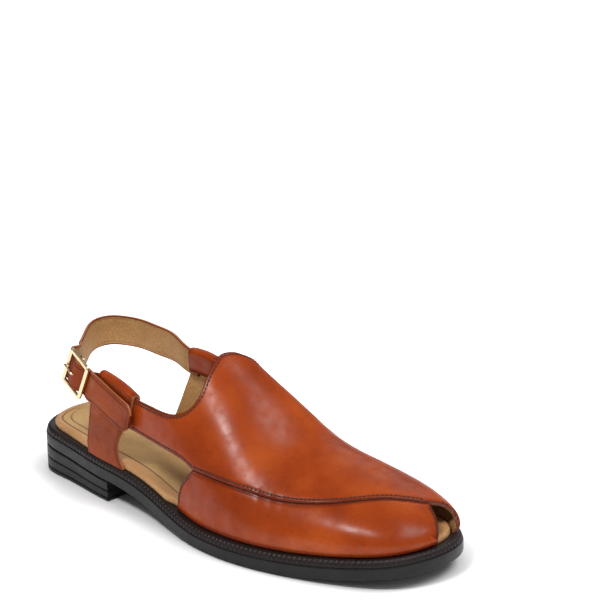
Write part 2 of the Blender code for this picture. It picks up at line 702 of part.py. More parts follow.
ALONG = unit(np.array(BUCKLE_ALONG))
OUT = unit(np.cross(ALONG, unit(np.array(BUCKLE_UP))))
UP = np.cross(OUT, ALONG)
CENTRE = np.array(BUCKLE_CENTRE)


def at_buckle(along, up, out):
    """Point in the buckle's own directions, from its centre."""
    return CENTRE + along * ALONG + up * UP + out * OUT


def beside_post(y, z, side, lift):
    """Point at length y and height z, off the last by lift."""
    return lasted(*solve_girth(y, z, side), lift)


def smooth_route(points, spacing):
    """Evenly spaced points on a smooth curve through route points."""
    points = np.asarray(points, float)
    lengths = np.concatenate([[0.0], np.cumsum(np.linalg.norm(np.diff(points, axis=0), axis=1))])
    splines = [Spline(lengths, points[:, k]) for k in range(3)]
    places = np.linspace(0.0, lengths[-1], int(round(lengths[-1] / spacing)) + 1)
    return np.stack([spline(places) for spline in splines], -1), places


def band(route, half_width, thickness, upright):
    """Sections of a flat strap on edge along a route; half_width and upright have a row a point."""
    tangent = unit(np.gradient(route, axis=0))
    up = unit(upright - np.sum(upright * tangent, axis=1)[:, None] * tangent)
    side = np.cross(tangent, up)
    half = thickness / 2.0
    soft = 0.3 * thickness
    profile = ((-1.0, 0.0, -half + soft), (-1.0, soft, -half), (1.0, -soft, -half), (1.0, 0.0, -half + soft),
               (1.0, 0.0, half - soft), (1.0, -soft, half), (-1.0, soft, half), (-1.0, 0.0, half - soft))
    sections = []
    for point, across, out, width in zip(route, up, side, half_width):
        sections.append(np.array([point + across * (end * width + shift) + out * depth
                                  for end, shift, depth in profile]))
    return sections


def strap_route():
    """Centre line of the heel strap: inner tunnel, round the heel, through the buckle, tail."""
    tunnel_middle = -VAMP_WALL / 2.0
    tail_lift = tunnel_middle + TUNNEL_GAP / 2.0 + POST_WALL + 2.0 * FIT_GAP + STRAP_THICK / 2.0
    bar = BUCKLE_LENGTH / 2.0
    under = -(BUCKLE_WIRE + FIT_GAP + STRAP_THICK / 2.0)
    over = -CENTRE_BAR_DROP + CENTRE_BAR_WIRE + CHAPE_THICK + 2.0 * FIT_GAP + STRAP_THICK / 2.0
    start = [beside_post(90.0, 70.2, -1, tunnel_middle), beside_post(85.0, 70.7, -1, tunnel_middle),
             beside_post(79.0, 72.2, -1, tunnel_middle)]
    buckle = [at_buckle(-bar - 3.0, -0.8, under - 0.7), at_buckle(-bar + 0.4, 0.1, under - 0.4),
              at_buckle(-3.4, 0.0, over - 1.1), at_buckle(-1.2, 0.0, over), at_buckle(1.2, 0.0, over),
              at_buckle(bar - 0.6, 0.0, under - 0.15), at_buckle(bar + 3.0, 0.8, under + 0.4)]
    tail = [beside_post(y, z, 1, tail_lift) for y, z in TAIL_ROUTE]
    return start + [np.array(point) for point in STRAP_ROUTE] + buckle + tail


def build_strap(finish, collection, cutters):
    """Heel strap: one flat band with a pointed tail and a prong hole."""
    route, places = smooth_route(strap_route(), STRAP_STEP)
    to_tip = np.clip((places[-1] - places) / TIP_LENGTH, 0.0, 1.0)
    widths = STRAP_WIDTH / 2.0 * (1.0 - 0.5 * (1.0 - to_tip) ** 2.2)
    widths = widths * (0.79 + 0.21 * smoothstep(places / 42.0))
    near = smoothstep((26.0 - np.linalg.norm(route - CENTRE, axis=1)) / 12.0)[:, None]
    upright = UP * near + np.array((0.0, 0.0, 1.0)) * (1.0 - near)
    sections = band(route, widths, STRAP_THICK, upright)
    strap = new_object("heel_strap", *band_loft(sections), finish, collection)
    hole = cylinder("prong_hole", at_buckle(PRONG_HOLE, 0.0, -2.0), at_buckle(PRONG_HOLE, 0.0, 6.0),
                    PRONG_WIRE + 0.7, finish, cutters)
    boolean(strap, as_cutter(hole), "DIFFERENCE")
    return strap


def cylinder(name, start, end, radius, finish, collection):
    """Straight round bar between two millimetre points."""
    run = end - start
    work = bmesh.new()
    bmesh.ops.create_cone(work, cap_ends=True, segments=16, radius1=radius * MM, radius2=radius * MM,
                          depth=float(np.linalg.norm(run)) * MM)
    turn = Vector((0.0, 0.0, 1.0)).rotation_difference(Vector(run)).to_matrix().to_4x4()
    place = Matrix.Translation(Vector(((start + end) / 2.0 - FRAME_ORIGIN) * MM))
    bmesh.ops.transform(work, matrix=place @ turn, verts=work.verts)
    mesh = bpy.data.meshes.new(name)
    work.to_mesh(mesh)
    work.free()
    mesh.materials.append(finish)
    made = bpy.data.objects.new(name, mesh)
    collection.objects.link(made)
    return made


def wire(name, points, radius, finish, collection, closed=False):
    """Round wire along millimetre points, as a mesh with welded caps."""
    curve = bpy.data.curves.new(name, "CURVE")
    curve.dimensions = "3D"
    curve.bevel_depth = radius * MM
    curve.bevel_resolution = 2
    curve.use_fill_caps = not closed
    spline = curve.splines.new("POLY")
    spline.points.add(len(points) - 1)
    for target, point in zip(spline.points, points):
        target.co = (*((point - FRAME_ORIGIN) * MM), 1.0)
    spline.use_cyclic_u = closed
    holder = bpy.data.objects.new(name + "_curve", curve)
    collection.objects.link(holder)
    depsgraph = bpy.context.evaluated_depsgraph_get()
    mesh = bpy.data.meshes.new_from_object(holder.evaluated_get(depsgraph))
    bpy.data.objects.remove(holder)
    work = bmesh.new()
    work.from_mesh(mesh)
    bmesh.ops.remove_doubles(work, verts=work.verts, dist=1e-6)
    bmesh.ops.recalc_face_normals(work, faces=work.faces)
    work.to_mesh(mesh)
    work.free()
    mesh.name = name
    mesh.shade_smooth()
    mesh.materials.clear()
    mesh.materials.append(finish)
    made = bpy.data.objects.new(name, mesh)
    collection.objects.link(made)
    return made


def build_buckle(finish, collection, cutters):
    """Buckle frame with rounded corners and a dropped centre bar."""
    half_l, half_h, corner = BUCKLE_LENGTH / 2.0, BUCKLE_HEIGHT / 2.0, 3.0
    loop = []
    for start, sign_l, sign_h in ((0.0, 1, 1), (0.5, -1, 1), (1.0, -1, -1), (1.5, 1, -1)):
        for step in range(5):
            angle = (start + step * 0.125) * math.pi
            loop.append(at_buckle(sign_l * (half_l - corner) + corner * math.cos(angle),
                                  sign_h * (half_h - corner) + corner * math.sin(angle), 0.0))
    frame = wire("buckle_frame", loop, BUCKLE_WIRE, finish, collection, closed=True)
    bow = []
    for share in np.linspace(-1.0, 1.0, 21):
        drop = CENTRE_BAR_DROP * (1.0 - smoothstep((abs(share) - 0.72) / 0.28))
        bow.append(at_buckle(0.0, share * half_h, -drop))
    centre_bar = as_cutter(wire("centre_bar_form", bow, CENTRE_BAR_WIRE, finish, cutters))
    boolean(frame, centre_bar, "UNION")
    return frame


def build_prong(finish, collection):
    """Prong: an eye round the centre bar and a pin through the strap that rests on the rear bar."""
    eye = CENTRE_BAR_WIRE + FIT_GAP + PRONG_WIRE
    bar = BUCKLE_LENGTH / 2.0
    over_bar = BUCKLE_WIRE + FIT_GAP + PRONG_WIRE
    points = []
    for turn in np.radians(np.linspace(50.0, -225.0, 15)):
        points.append(at_buckle(eye * math.cos(turn), 0.0, -CENTRE_BAR_DROP + eye * math.sin(turn)))
    pin, _ = smooth_route([at_buckle(PRONG_HOLE, 0.0, 0.2), at_buckle(PRONG_HOLE, 0.0, 2.4),
                           at_buckle(PRONG_HOLE - 1.6, 0.0, 3.7), at_buckle(-0.5 * bar, 0.0, 3.5),
                           at_buckle(-bar, 0.0, over_bar), at_buckle(-bar - 1.6, 0.0, over_bar - 0.4)], 0.9)
    return wire("buckle_prong", points + list(pin), PRONG_WIRE, finish, collection)


def build_chape(finish, collection, cutters):
    """Buckle strap: leaves the outer tunnel, loops round the centre bar and comes back."""
    tunnel_middle = -VAMP_WALL / 2.0
    turn_radius = CENTRE_BAR_WIRE + FIT_GAP + CHAPE_THICK / 2.0
    points = [beside_post(78.0, 68.6, 1, tunnel_middle), beside_post(74.0, 69.4, 1, tunnel_middle),
              beside_post(69.5, 70.4, 1, tunnel_middle)]
    points += [at_buckle(8.7, 0.0, -6.05), at_buckle(4.0, 0.0, -5.3)]
    for turn in np.radians((-90.0, -135.0, 180.0, 135.0, 90.0)):
        points.append(at_buckle(turn_radius * math.cos(turn), 0.0,
                                -CENTRE_BAR_DROP + turn_radius * math.sin(turn)))
    points += [at_buckle(3.0, 0.0, -1.9), at_buckle(6.0, 0.0, -3.9), at_buckle(8.7, 0.0, -4.6),
               at_buckle(11.5, 0.0, -4.75)]
    route, _ = smooth_route(points, 1.0)
    near = smoothstep((22.0 - np.linalg.norm(route - CENTRE, axis=1)) / 10.0)[:, None]
    upright = UP * near + np.array(TUNNEL_UP) * (1.0 - near)
    sections = band(route, np.full(len(route), CHAPE_WIDTH / 2.0), CHAPE_THICK, upright)
    chape = new_object("buckle_chape", *band_loft(sections), finish, collection)
    work = bmesh.new()
    bmesh.ops.create_cube(work, size=1.0)
    place = Matrix([[*(ALONG * 7.2)], [*(UP * 2.4)], [*(OUT * 7.4)]]).transposed().to_4x4()
    place.translation = Vector(at_buckle(0.2, 0.0, -CENTRE_BAR_DROP) - FRAME_ORIGIN)
    bmesh.ops.transform(work, matrix=Matrix.Scale(MM, 4) @ place, verts=work.verts)
    mesh = bpy.data.meshes.new("prong_slot")
    work.to_mesh(mesh)
    work.free()
    slot = bpy.data.objects.new("prong_slot", mesh)
    cutters.objects.link(slot)
    boolean(chape, as_cutter(slot), "DIFFERENCE")
    return chape


# ---------------------------------------------------------------- assembly
def main():
    """Removes the scene's objects and builds the shoe."""
    for old in list(bpy.data.objects):
        bpy.data.objects.remove(old, do_unlink=True)
    shoe = bpy.data.collections.new("peshawari_chappal")
    cutters = bpy.data.collections.new("cutters")
    for collection in (shoe, cutters):
        bpy.context.scene.collection.children.link(collection)
    rubber = make_finish("sole_rubber", (0.012, 0.012, 0.013), 0.45)
    welt_rubber = make_finish("welt_rubber", (0.016, 0.016, 0.017), 0.7)
    leather = make_finish("upper_leather", (0.33, 0.085, 0.016), 0.28)
    lining = make_finish("insole_leather", (0.50, 0.25, 0.10), 0.6)
    gold = make_finish("buckle_metal", (0.83, 0.66, 0.42), 0.25, 1.0)
    build_heel(rubber, shoe)
    build_outsole(rubber, shoe)
    build_welt(welt_rubber, shoe)
    build_insole(lining, shoe)
    build_upper(leather, shoe, cutters)
    build_strap(leather, shoe, cutters)
    build_chape(leather, shoe, cutters)
    build_buckle(gold, shoe, cutters)
    build_prong(gold, shoe)


main()
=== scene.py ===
"""Looks of a right peshawari chappal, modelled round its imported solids.

Lengths in the classes below are millimetres in the shoemaker's frame: X to the outer side of the
foot, Y towards the toe from the back of the sole, Z up from the floor. Meshes are written in
metres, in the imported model's frame, by Bench.
"""

import logging
import math
from dataclasses import dataclass, field
from enum import Enum

import bpy
import numpy as np
from mathutils import Matrix, Vector
from mathutils.geometry import delaunay_2d_cdt

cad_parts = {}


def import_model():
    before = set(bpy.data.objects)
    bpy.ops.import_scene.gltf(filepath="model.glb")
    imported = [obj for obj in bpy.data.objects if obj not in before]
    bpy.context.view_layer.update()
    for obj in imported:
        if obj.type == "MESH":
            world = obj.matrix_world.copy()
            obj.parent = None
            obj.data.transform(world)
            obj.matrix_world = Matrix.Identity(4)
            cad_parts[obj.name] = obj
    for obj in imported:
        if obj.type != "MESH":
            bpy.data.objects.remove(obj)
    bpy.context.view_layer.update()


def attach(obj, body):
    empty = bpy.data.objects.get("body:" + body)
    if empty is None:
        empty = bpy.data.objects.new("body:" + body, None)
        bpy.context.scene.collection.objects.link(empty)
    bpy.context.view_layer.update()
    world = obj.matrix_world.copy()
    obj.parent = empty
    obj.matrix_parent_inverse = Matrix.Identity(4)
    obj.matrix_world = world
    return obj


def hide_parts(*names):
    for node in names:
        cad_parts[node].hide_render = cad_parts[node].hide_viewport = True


LOG = logging.getLogger("chappal")
MM = 0.001
TURN = 2.0 * math.pi
BODY = "root"


class Side(Enum):
    """Side of the foot."""

    OUTER = 1
    INNER = -1


class Slot(Enum):
    """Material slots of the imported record."""

    SOLE = "sole_rubber"
    WELT = "welt_rubber"
    UPPER = "upper_leather"
    INSOLE = "insole_leather"
    BUCKLE = "buckle_metal"


# ---------------------------------------------------------------- curves
class Spline:
    """Cubic spline through knots, natural at its ends or closed on itself."""

    def __init__(self, knots: np.ndarray, values: np.ndarray, closed: bool = False) -> None:
        """Solves the spline.

        Args:
            knots: rising places of the knots.
            values: one value a knot.
            closed: whether the last knot is the first again.
        """
        self.knots = np.asarray(knots, float)
        self.values = np.asarray(values, float)
        self.closed = closed
        self.steps = np.diff(self.knots)
        self.curvature = self._solve()

    def _solve(self) -> np.ndarray:
        """Second derivative at each knot."""
        count = len(self.knots)
        slopes = np.diff(self.values) / self.steps
        matrix = np.eye(count)
        right = np.zeros(count)
        for i in range(1, count - 1):
            matrix[i, i - 1:i + 2] = (self.steps[i - 1], 2.0 * (self.steps[i - 1] + self.steps[i]),
                                      self.steps[i])
            right[i] = 6.0 * (slopes[i] - slopes[i - 1])
        if self.closed:
            matrix[0, 0], matrix[0, 1] = 2.0 * (self.steps[0] + self.steps[-1]), self.steps[0]
            matrix[0, count - 2] += self.steps[-1]
            right[0] = 6.0 * (slopes[0] - slopes[-1])
            matrix[-1, 0], matrix[-1, -1] = -1.0, 1.0
        return np.linalg.solve(matrix, right)

    def __call__(self, where: np.ndarray) -> np.ndarray:
        """Values at the given places."""
        where = np.asarray(where, float)
        first, last = self.knots[0], self.knots[-1]
        if self.closed:
            where = first + np.mod(where - first, last - first)
        else:
            where = np.clip(where, first, last)
        i = np.clip(np.searchsorted(self.knots, where, side="right") - 1, 0, len(self.steps) - 1)
        step = self.steps[i]
        before = (self.knots[i + 1] - where) / step
        after = (where - self.knots[i]) / step
        bend = ((before ** 3 - before) * self.curvature[i]
                + (after ** 3 - after) * self.curvature[i + 1]) * step ** 2 / 6.0
        return before * self.values[i] + after * self.values[i + 1] + bend


def smoothstep(share: np.ndarray) -> np.ndarray:
    """Soft ramp from 0 to 1."""
    share = np.clip(share, 0.0, 1.0)
    return share * share * (3.0 - 2.0 * share)


def bump(distance: np.ndarray, width: float) -> np.ndarray:
    """Bell curve of height 1 whose half width is width."""
    return np.exp(-(np.asarray(distance) / width) ** 2)


def rounding(room: np.ndarray, reach: float) -> np.ndarray:
    """Share of an edge's rounding off: 1 on the edge itself, 0 from reach inwards."""
    return np.clip(1.0 - np.asarray(room) / reach, 0.0, 1.0) ** 2


def burnt(room: np.ndarray, edge: tuple, line: float, pressed: tuple) -> np.ndarray:
    """How dark a leather is made near its edge and along a line inside it: burnishing, and painted shadow
    where the side panel runs under the vamp's edge.

    Args:
        room: distance from the edge.
        edge: strength and width on the edge.
        line: distance of the line from the edge.
        pressed: strength and width on the line.

    Returns:
        The darkness, from 0 to 1.
    """
    dark = edge[0] * bump(room, edge[1]) + pressed[0] * bump(room - line, pressed[1])
    return np.minimum(dark, 1.0)


def unit(vectors: np.ndarray) -> np.ndarray:
    """Vectors brought to length 1."""
    return vectors / np.linalg.norm(vectors, axis=-1, keepdims=True)


def travelled(points: np.ndarray) -> np.ndarray:
    """Length along a line from its start to each of its points."""
    return np.concatenate([[0.0], np.cumsum(np.linalg.norm(np.diff(points, axis=0), axis=1))])


def smooth_route(points: list, spacing: float) -> tuple[np.ndarray, np.ndarray]:
    """Evenly spaced points on a smooth curve through route points.

    Args:
        points: route points.
        spacing: distance between the points that come back.

    Returns:
        The points, and their lengths along the curve.
    """
    points = np.asarray(points, float)
    lengths = travelled(points)
    splines = [Spline(lengths, points[:, k]) for k in range(3)]
    places = np.linspace(0.0, lengths[-1], int(round(lengths[-1] / spacing)) + 1)
    return np.stack([spline(places) for spline in splines], -1), places


def wrapped(rows: list) -> np.ndarray:
    """Rows of rings as an array, each ring's first point repeated at its end."""
    rows = np.array(rows)
    return np.concatenate([rows, rows[:, :1]], axis=1)


def drawn_in(ring: np.ndarray, share: float, lift: np.ndarray = 0.0, shift: int = 1) -> np.ndarray:
    """Ring drawn in from both sides of the foot towards its middle line.

    Args:
        ring: points round the sole, or from one side round the heel to the other.
        share: 0 leaves the ring as it is, 1 lays it on the middle line.
        lift: rise of the drawn points.
        shift: 1 where the first point lies opposite itself, 0 where it lies opposite the last.

    Returns:
        The drawn ring.
    """
    middle = (ring + np.roll(ring[::-1], shift, axis=0)) / 2.0
    drawn = ring + (middle - ring) * share
    drawn[:, 2] += lift
    return drawn


# ---------------------------------------------------------------- shapes the shoe is made on
@dataclass(frozen=True)
class SoleShape:
    """Outline and underside of the sole, heel to toe.

    The sections are rows of length, inner edge's x and outer edge's x. The origin is found from points
    at each half degree round the outline.
    """

    length: float = 300.0
    edge_side: float = 7.6
    edge_total: float = 11.3
    gap: float = 0.3
    heel_breast: float = 77.0
    arch_height: float = 12.4
    arch_end: float = 167.0
    heel_pitch: float = 6.1
    pitch_end: float = 97.0
    toe_spring: float = 8.6
    spring_start: float = 190.0
    toe_x: float = -5.0
    samples: int = 4001
    half_degrees: int = 721
    sections: tuple = (
        (10.0, -27.6, 25.8), (35.0, -33.4, 31.8), (75.0, -33.0, 39.2), (110.0, -31.3, 43.2),
        (145.0, -35.6, 51.2), (178.0, -45.0, 57.0), (212.0, -50.7, 55.4), (245.0, -48.4, 47.8),
        (270.0, -41.6, 38.4), (288.0, -31.6, 26.4))
    across: Spline = field(init=False, repr=False)
    origin: np.ndarray = field(init=False, repr=False)

    def __post_init__(self) -> None:
        """Fits the outline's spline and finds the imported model's origin."""
        angles = [0.0] + [self.angle_of(row[0]) for row in self.sections] + [math.pi]
        angles += [TURN - self.angle_of(row[0]) for row in reversed(self.sections)]
        across = [0.0] + [row[2] for row in self.sections] + [self.toe_x]
        across += [row[1] for row in reversed(self.sections)] + [0.0]
        object.__setattr__(self, "across", Spline(angles + [TURN], across, closed=True))
        spread = self.outline(np.linspace(0.0, TURN, self.half_degrees), 0.0)[:, 0]
        middle = (spread.min() + spread.max()) / 2.0
        object.__setattr__(self, "origin", np.array((middle, self.length / 2.0, 0.0)))

    def bottom(self, y: np.ndarray) -> np.ndarray:
        """Height of the sole's lower edge over the floor at length y."""
        y = np.asarray(y, float)
        fallen = smoothstep((y - self.heel_breast) / (self.arch_end - self.heel_breast))
        arch = self.arch_height * (1.0 - fallen)
        pitch = self.heel_pitch * np.clip((self.pitch_end - y) / self.pitch_end, 0.0, None) ** 2
        rise = np.clip((y - self.spring_start) / (self.length - self.spring_start), 0.0, None)
        return arch + pitch + self.toe_spring * rise ** 2

    def angle_of(self, y: np.ndarray) -> np.ndarray:
        """Angle round the outline whose point on the outer side lies at length y."""
        return np.arccos(1.0 - 2.0 * np.clip(np.asarray(y, float) / self.length, 0.0, 1.0))

    def outline(self, angle: np.ndarray, inset: np.ndarray) -> np.ndarray:
        """Points of the outline, moved inwards by inset; angle 0 is the heel and pi the toe."""
        angle = np.asarray(angle, float)
        point = np.stack([self.across(angle), self.length / 2.0 * (1.0 - np.cos(angle))], -1)
        return point - self.normal(angle) * np.asarray(inset, float)[..., None]

    def normal(self, angle: np.ndarray) -> np.ndarray:
        """Unit vectors pointing out of the outline, in the floor's plane."""
        step = 1e-3
        angle = np.asarray(angle, float)
        along = np.stack([self.across(angle + step) - self.across(angle - step),
                          self.length / 2.0 * (np.cos(angle - step) - np.cos(angle + step))], -1)
        return unit(np.stack([along[..., 1], -along[..., 0]], -1))

    def ring(self, angles: np.ndarray, inset: np.ndarray, over_bottom: np.ndarray) -> np.ndarray:
        """Ring of points at an inset and a height over the sole's lower edge."""
        flat = self.outline(angles, np.broadcast_to(inset, angles.shape))
        height = self.bottom(flat[:, 1]) + np.broadcast_to(over_bottom, angles.shape)
        return np.concatenate([flat, height[:, None]], axis=1)

    def even_angles(self, count: int, inset: float) -> np.ndarray:
        """Angles of points that lie evenly spaced round the outline."""
        fine = np.linspace(0.0, TURN, self.samples)
        lengths = travelled(self.outline(fine, np.full(fine.shape, inset)))
        return np.interp(np.arange(count) * lengths[-1] / count, lengths, fine)


@dataclass(frozen=True)
class LastShape:
    """Outer surface of the upper, as the wooden last gives it.

    The sections are rows of length, height, the ridge's x, roundness, and how full the outer and the
    inner side stand. The probe is the step in station and in girth over which the surface's slope is
    read; fullest brings the greatest value of the fullness curve to 1.
    """

    sole: SoleShape = field(default_factory=SoleShape)
    ledge: float = 4.3
    cap_start: float = 232.0
    cap_power: float = 2.5
    toe_swing: float = 0.13
    swing_start: float = 2.0
    ridge_centres: float = 255.0
    fullest: float = 27.0 / 4.0
    level_share: float = 0.08
    probe: tuple = (0.4, 0.004)
    rounds: int = 7
    halvings: int = 18
    sections: tuple = (
        (60.0, 150.0, 2.0, 2.6, 1.5, 3.0), (100.0, 134.0, 1.0, 2.6, 1.5, 3.0),
        (130.0, 111.0, 0.0, 2.3, 2.0, 3.0), (145.0, 99.4, -1.5, 2.1, 2.0, 2.0),
        (175.0, 77.8, -4.0, 2.0, 2.0, 2.0), (200.0, 58.8, -6.0, 2.0, 2.0, 2.0),
        (225.0, 50.6, -6.0, 2.05, 2.0, 2.8), (250.0, 45.5, -5.0, 2.15, 2.5, 5.0),
        (290.0, 41.6, -6.0, 2.3, 3.0, 6.8))
    curves: tuple = field(init=False, repr=False)
    tip_y: float = field(init=False)

    def __post_init__(self) -> None:
        """Fits a spline to each column of the sections."""
        rows = np.array(self.sections)
        curves = tuple(Spline(rows[:, 0], column) for column in rows.T[1:])
        object.__setattr__(self, "curves", curves)
        tip = self.sole.outline(math.pi + self.toe_swing, self.ledge)
        object.__setattr__(self, "tip_y", float(tip[1]))

    def point(self, station: np.ndarray, girth: np.ndarray) -> np.ndarray:
        """Points of the surface.

        Args:
            station: length along the sole's outline.
            girth: 1 at the outer feather line, 0 on the ridge, -1 at the inner feather line.

        Returns:
            One point a station.
        """
        height, ridge, roundness, outer_full, inner_full = self.curves
        station, girth = np.broadcast_arrays(np.asarray(station, float), np.asarray(girth, float))
        outer = girth >= 0.0
        base = self.sole.angle_of(station)
        swing = self.toe_swing * smoothstep((base - self.swing_start) / (math.pi - self.swing_start))
        angles = base + swing, TURN - base + swing
        inset = np.full(station.shape, self.ledge)
        outer_end, inner_end = (self.sole.outline(angle, inset) for angle in angles)
        feather = np.where(outer[..., None], outer_end, inner_end)
        out = self.sole.normal(np.where(outer, *angles))
        middle = (outer_end + inner_end) / 2.0
        ridge_y = middle[..., 1]
        centre = smoothstep((ridge_y - self.ridge_centres) / (self.tip_y - self.ridge_centres))
        ridge_x = ridge(ridge_y) * (1.0 - centre) + middle[..., 0] * centre
        cap = np.clip((ridge_y - self.cap_start) / (self.tip_y - self.cap_start), 0.0, 1.0)
        cap = (1.0 - cap ** self.cap_power) ** (1.0 / self.cap_power)
        stand = self.sole.edge_total + self.sole.gap
        bed = self.sole.bottom(ridge_y) + stand
        ridge_z = bed + (height(ridge_y) - bed) * cap
        foot = self.sole.bottom(feather[..., 1]) + stand
        power = 2.0 / roundness(ridge_y)
        climb = np.clip(1.0 - np.abs(girth), 0.0, 1.0)
        inward = np.clip(np.cos(climb * math.pi / 2.0), 0.0, 1.0) ** power
        upward = np.sin(climb * math.pi / 2.0) ** power
        full = np.where(outer, outer_full(ridge_y), inner_full(ridge_y))
        full = full * self.fullest * climb * (1.0 - climb) ** 2 * np.abs(np.sin(base)) ** 0.5
        x = ridge_x + (feather[..., 0] - ridge_x) * inward + out[..., 0] * full
        y = ridge_y + (feather[..., 1] - ridge_y) * inward + out[..., 1] * full
        return np.stack([x, y, foot + (ridge_z - foot) * upward], -1)

    def facing(self, station: np.ndarray, girth: np.ndarray) -> np.ndarray:
        """Unit vectors out of the surface; at the feather line they lie level."""
        station, girth = np.broadcast_arrays(np.asarray(station, float), np.asarray(girth, float))
        step, turn = self.probe
        along = self.point(station + step, girth) - self.point(station - step, girth)
        across = self.point(station, girth + turn) - self.point(station, girth - turn)
        out = np.cross(across, along)
        out[..., 2] *= smoothstep((1.0 - np.abs(girth)) / self.level_share)
        return unit(out)

    def lasted(self, station: np.ndarray, girth: np.ndarray, lift: np.ndarray) -> np.ndarray:
        """Points of the surface, moved out by lift."""
        shape = np.broadcast(np.asarray(station), np.asarray(girth), np.asarray(lift)).shape
        lift = np.broadcast_to(np.asarray(lift, float), shape)
        return self.point(station, girth) + self.facing(station, girth) * lift[..., None]

    def solve(self, y: float, z: float, side: Side) -> tuple[float, float]:
        """Station and girth of the surface at length y and height z on one side."""
        station, girth = float(y), 1.0
        for _ in range(self.rounds):
            low, high = 0.0, 1.0
            for _ in range(self.halvings):
                middle = (low + high) / 2.0
                if self.point(station, side.value * middle)[2] > z:
                    low = middle
                else:
                    high = middle
            girth = (low + high) / 2.0
            station += y - float(self.point(station, side.value * girth)[1])
        return station, side.value * girth

    def beside(self, y: float, z: float, side: Side, lift: float) -> np.ndarray:
        """Point at length y and height z, off the surface by lift."""
        return self.lasted(*self.solve(y, z, side), lift)


SOLE = SoleShape()
LAST = LastShape(SOLE)


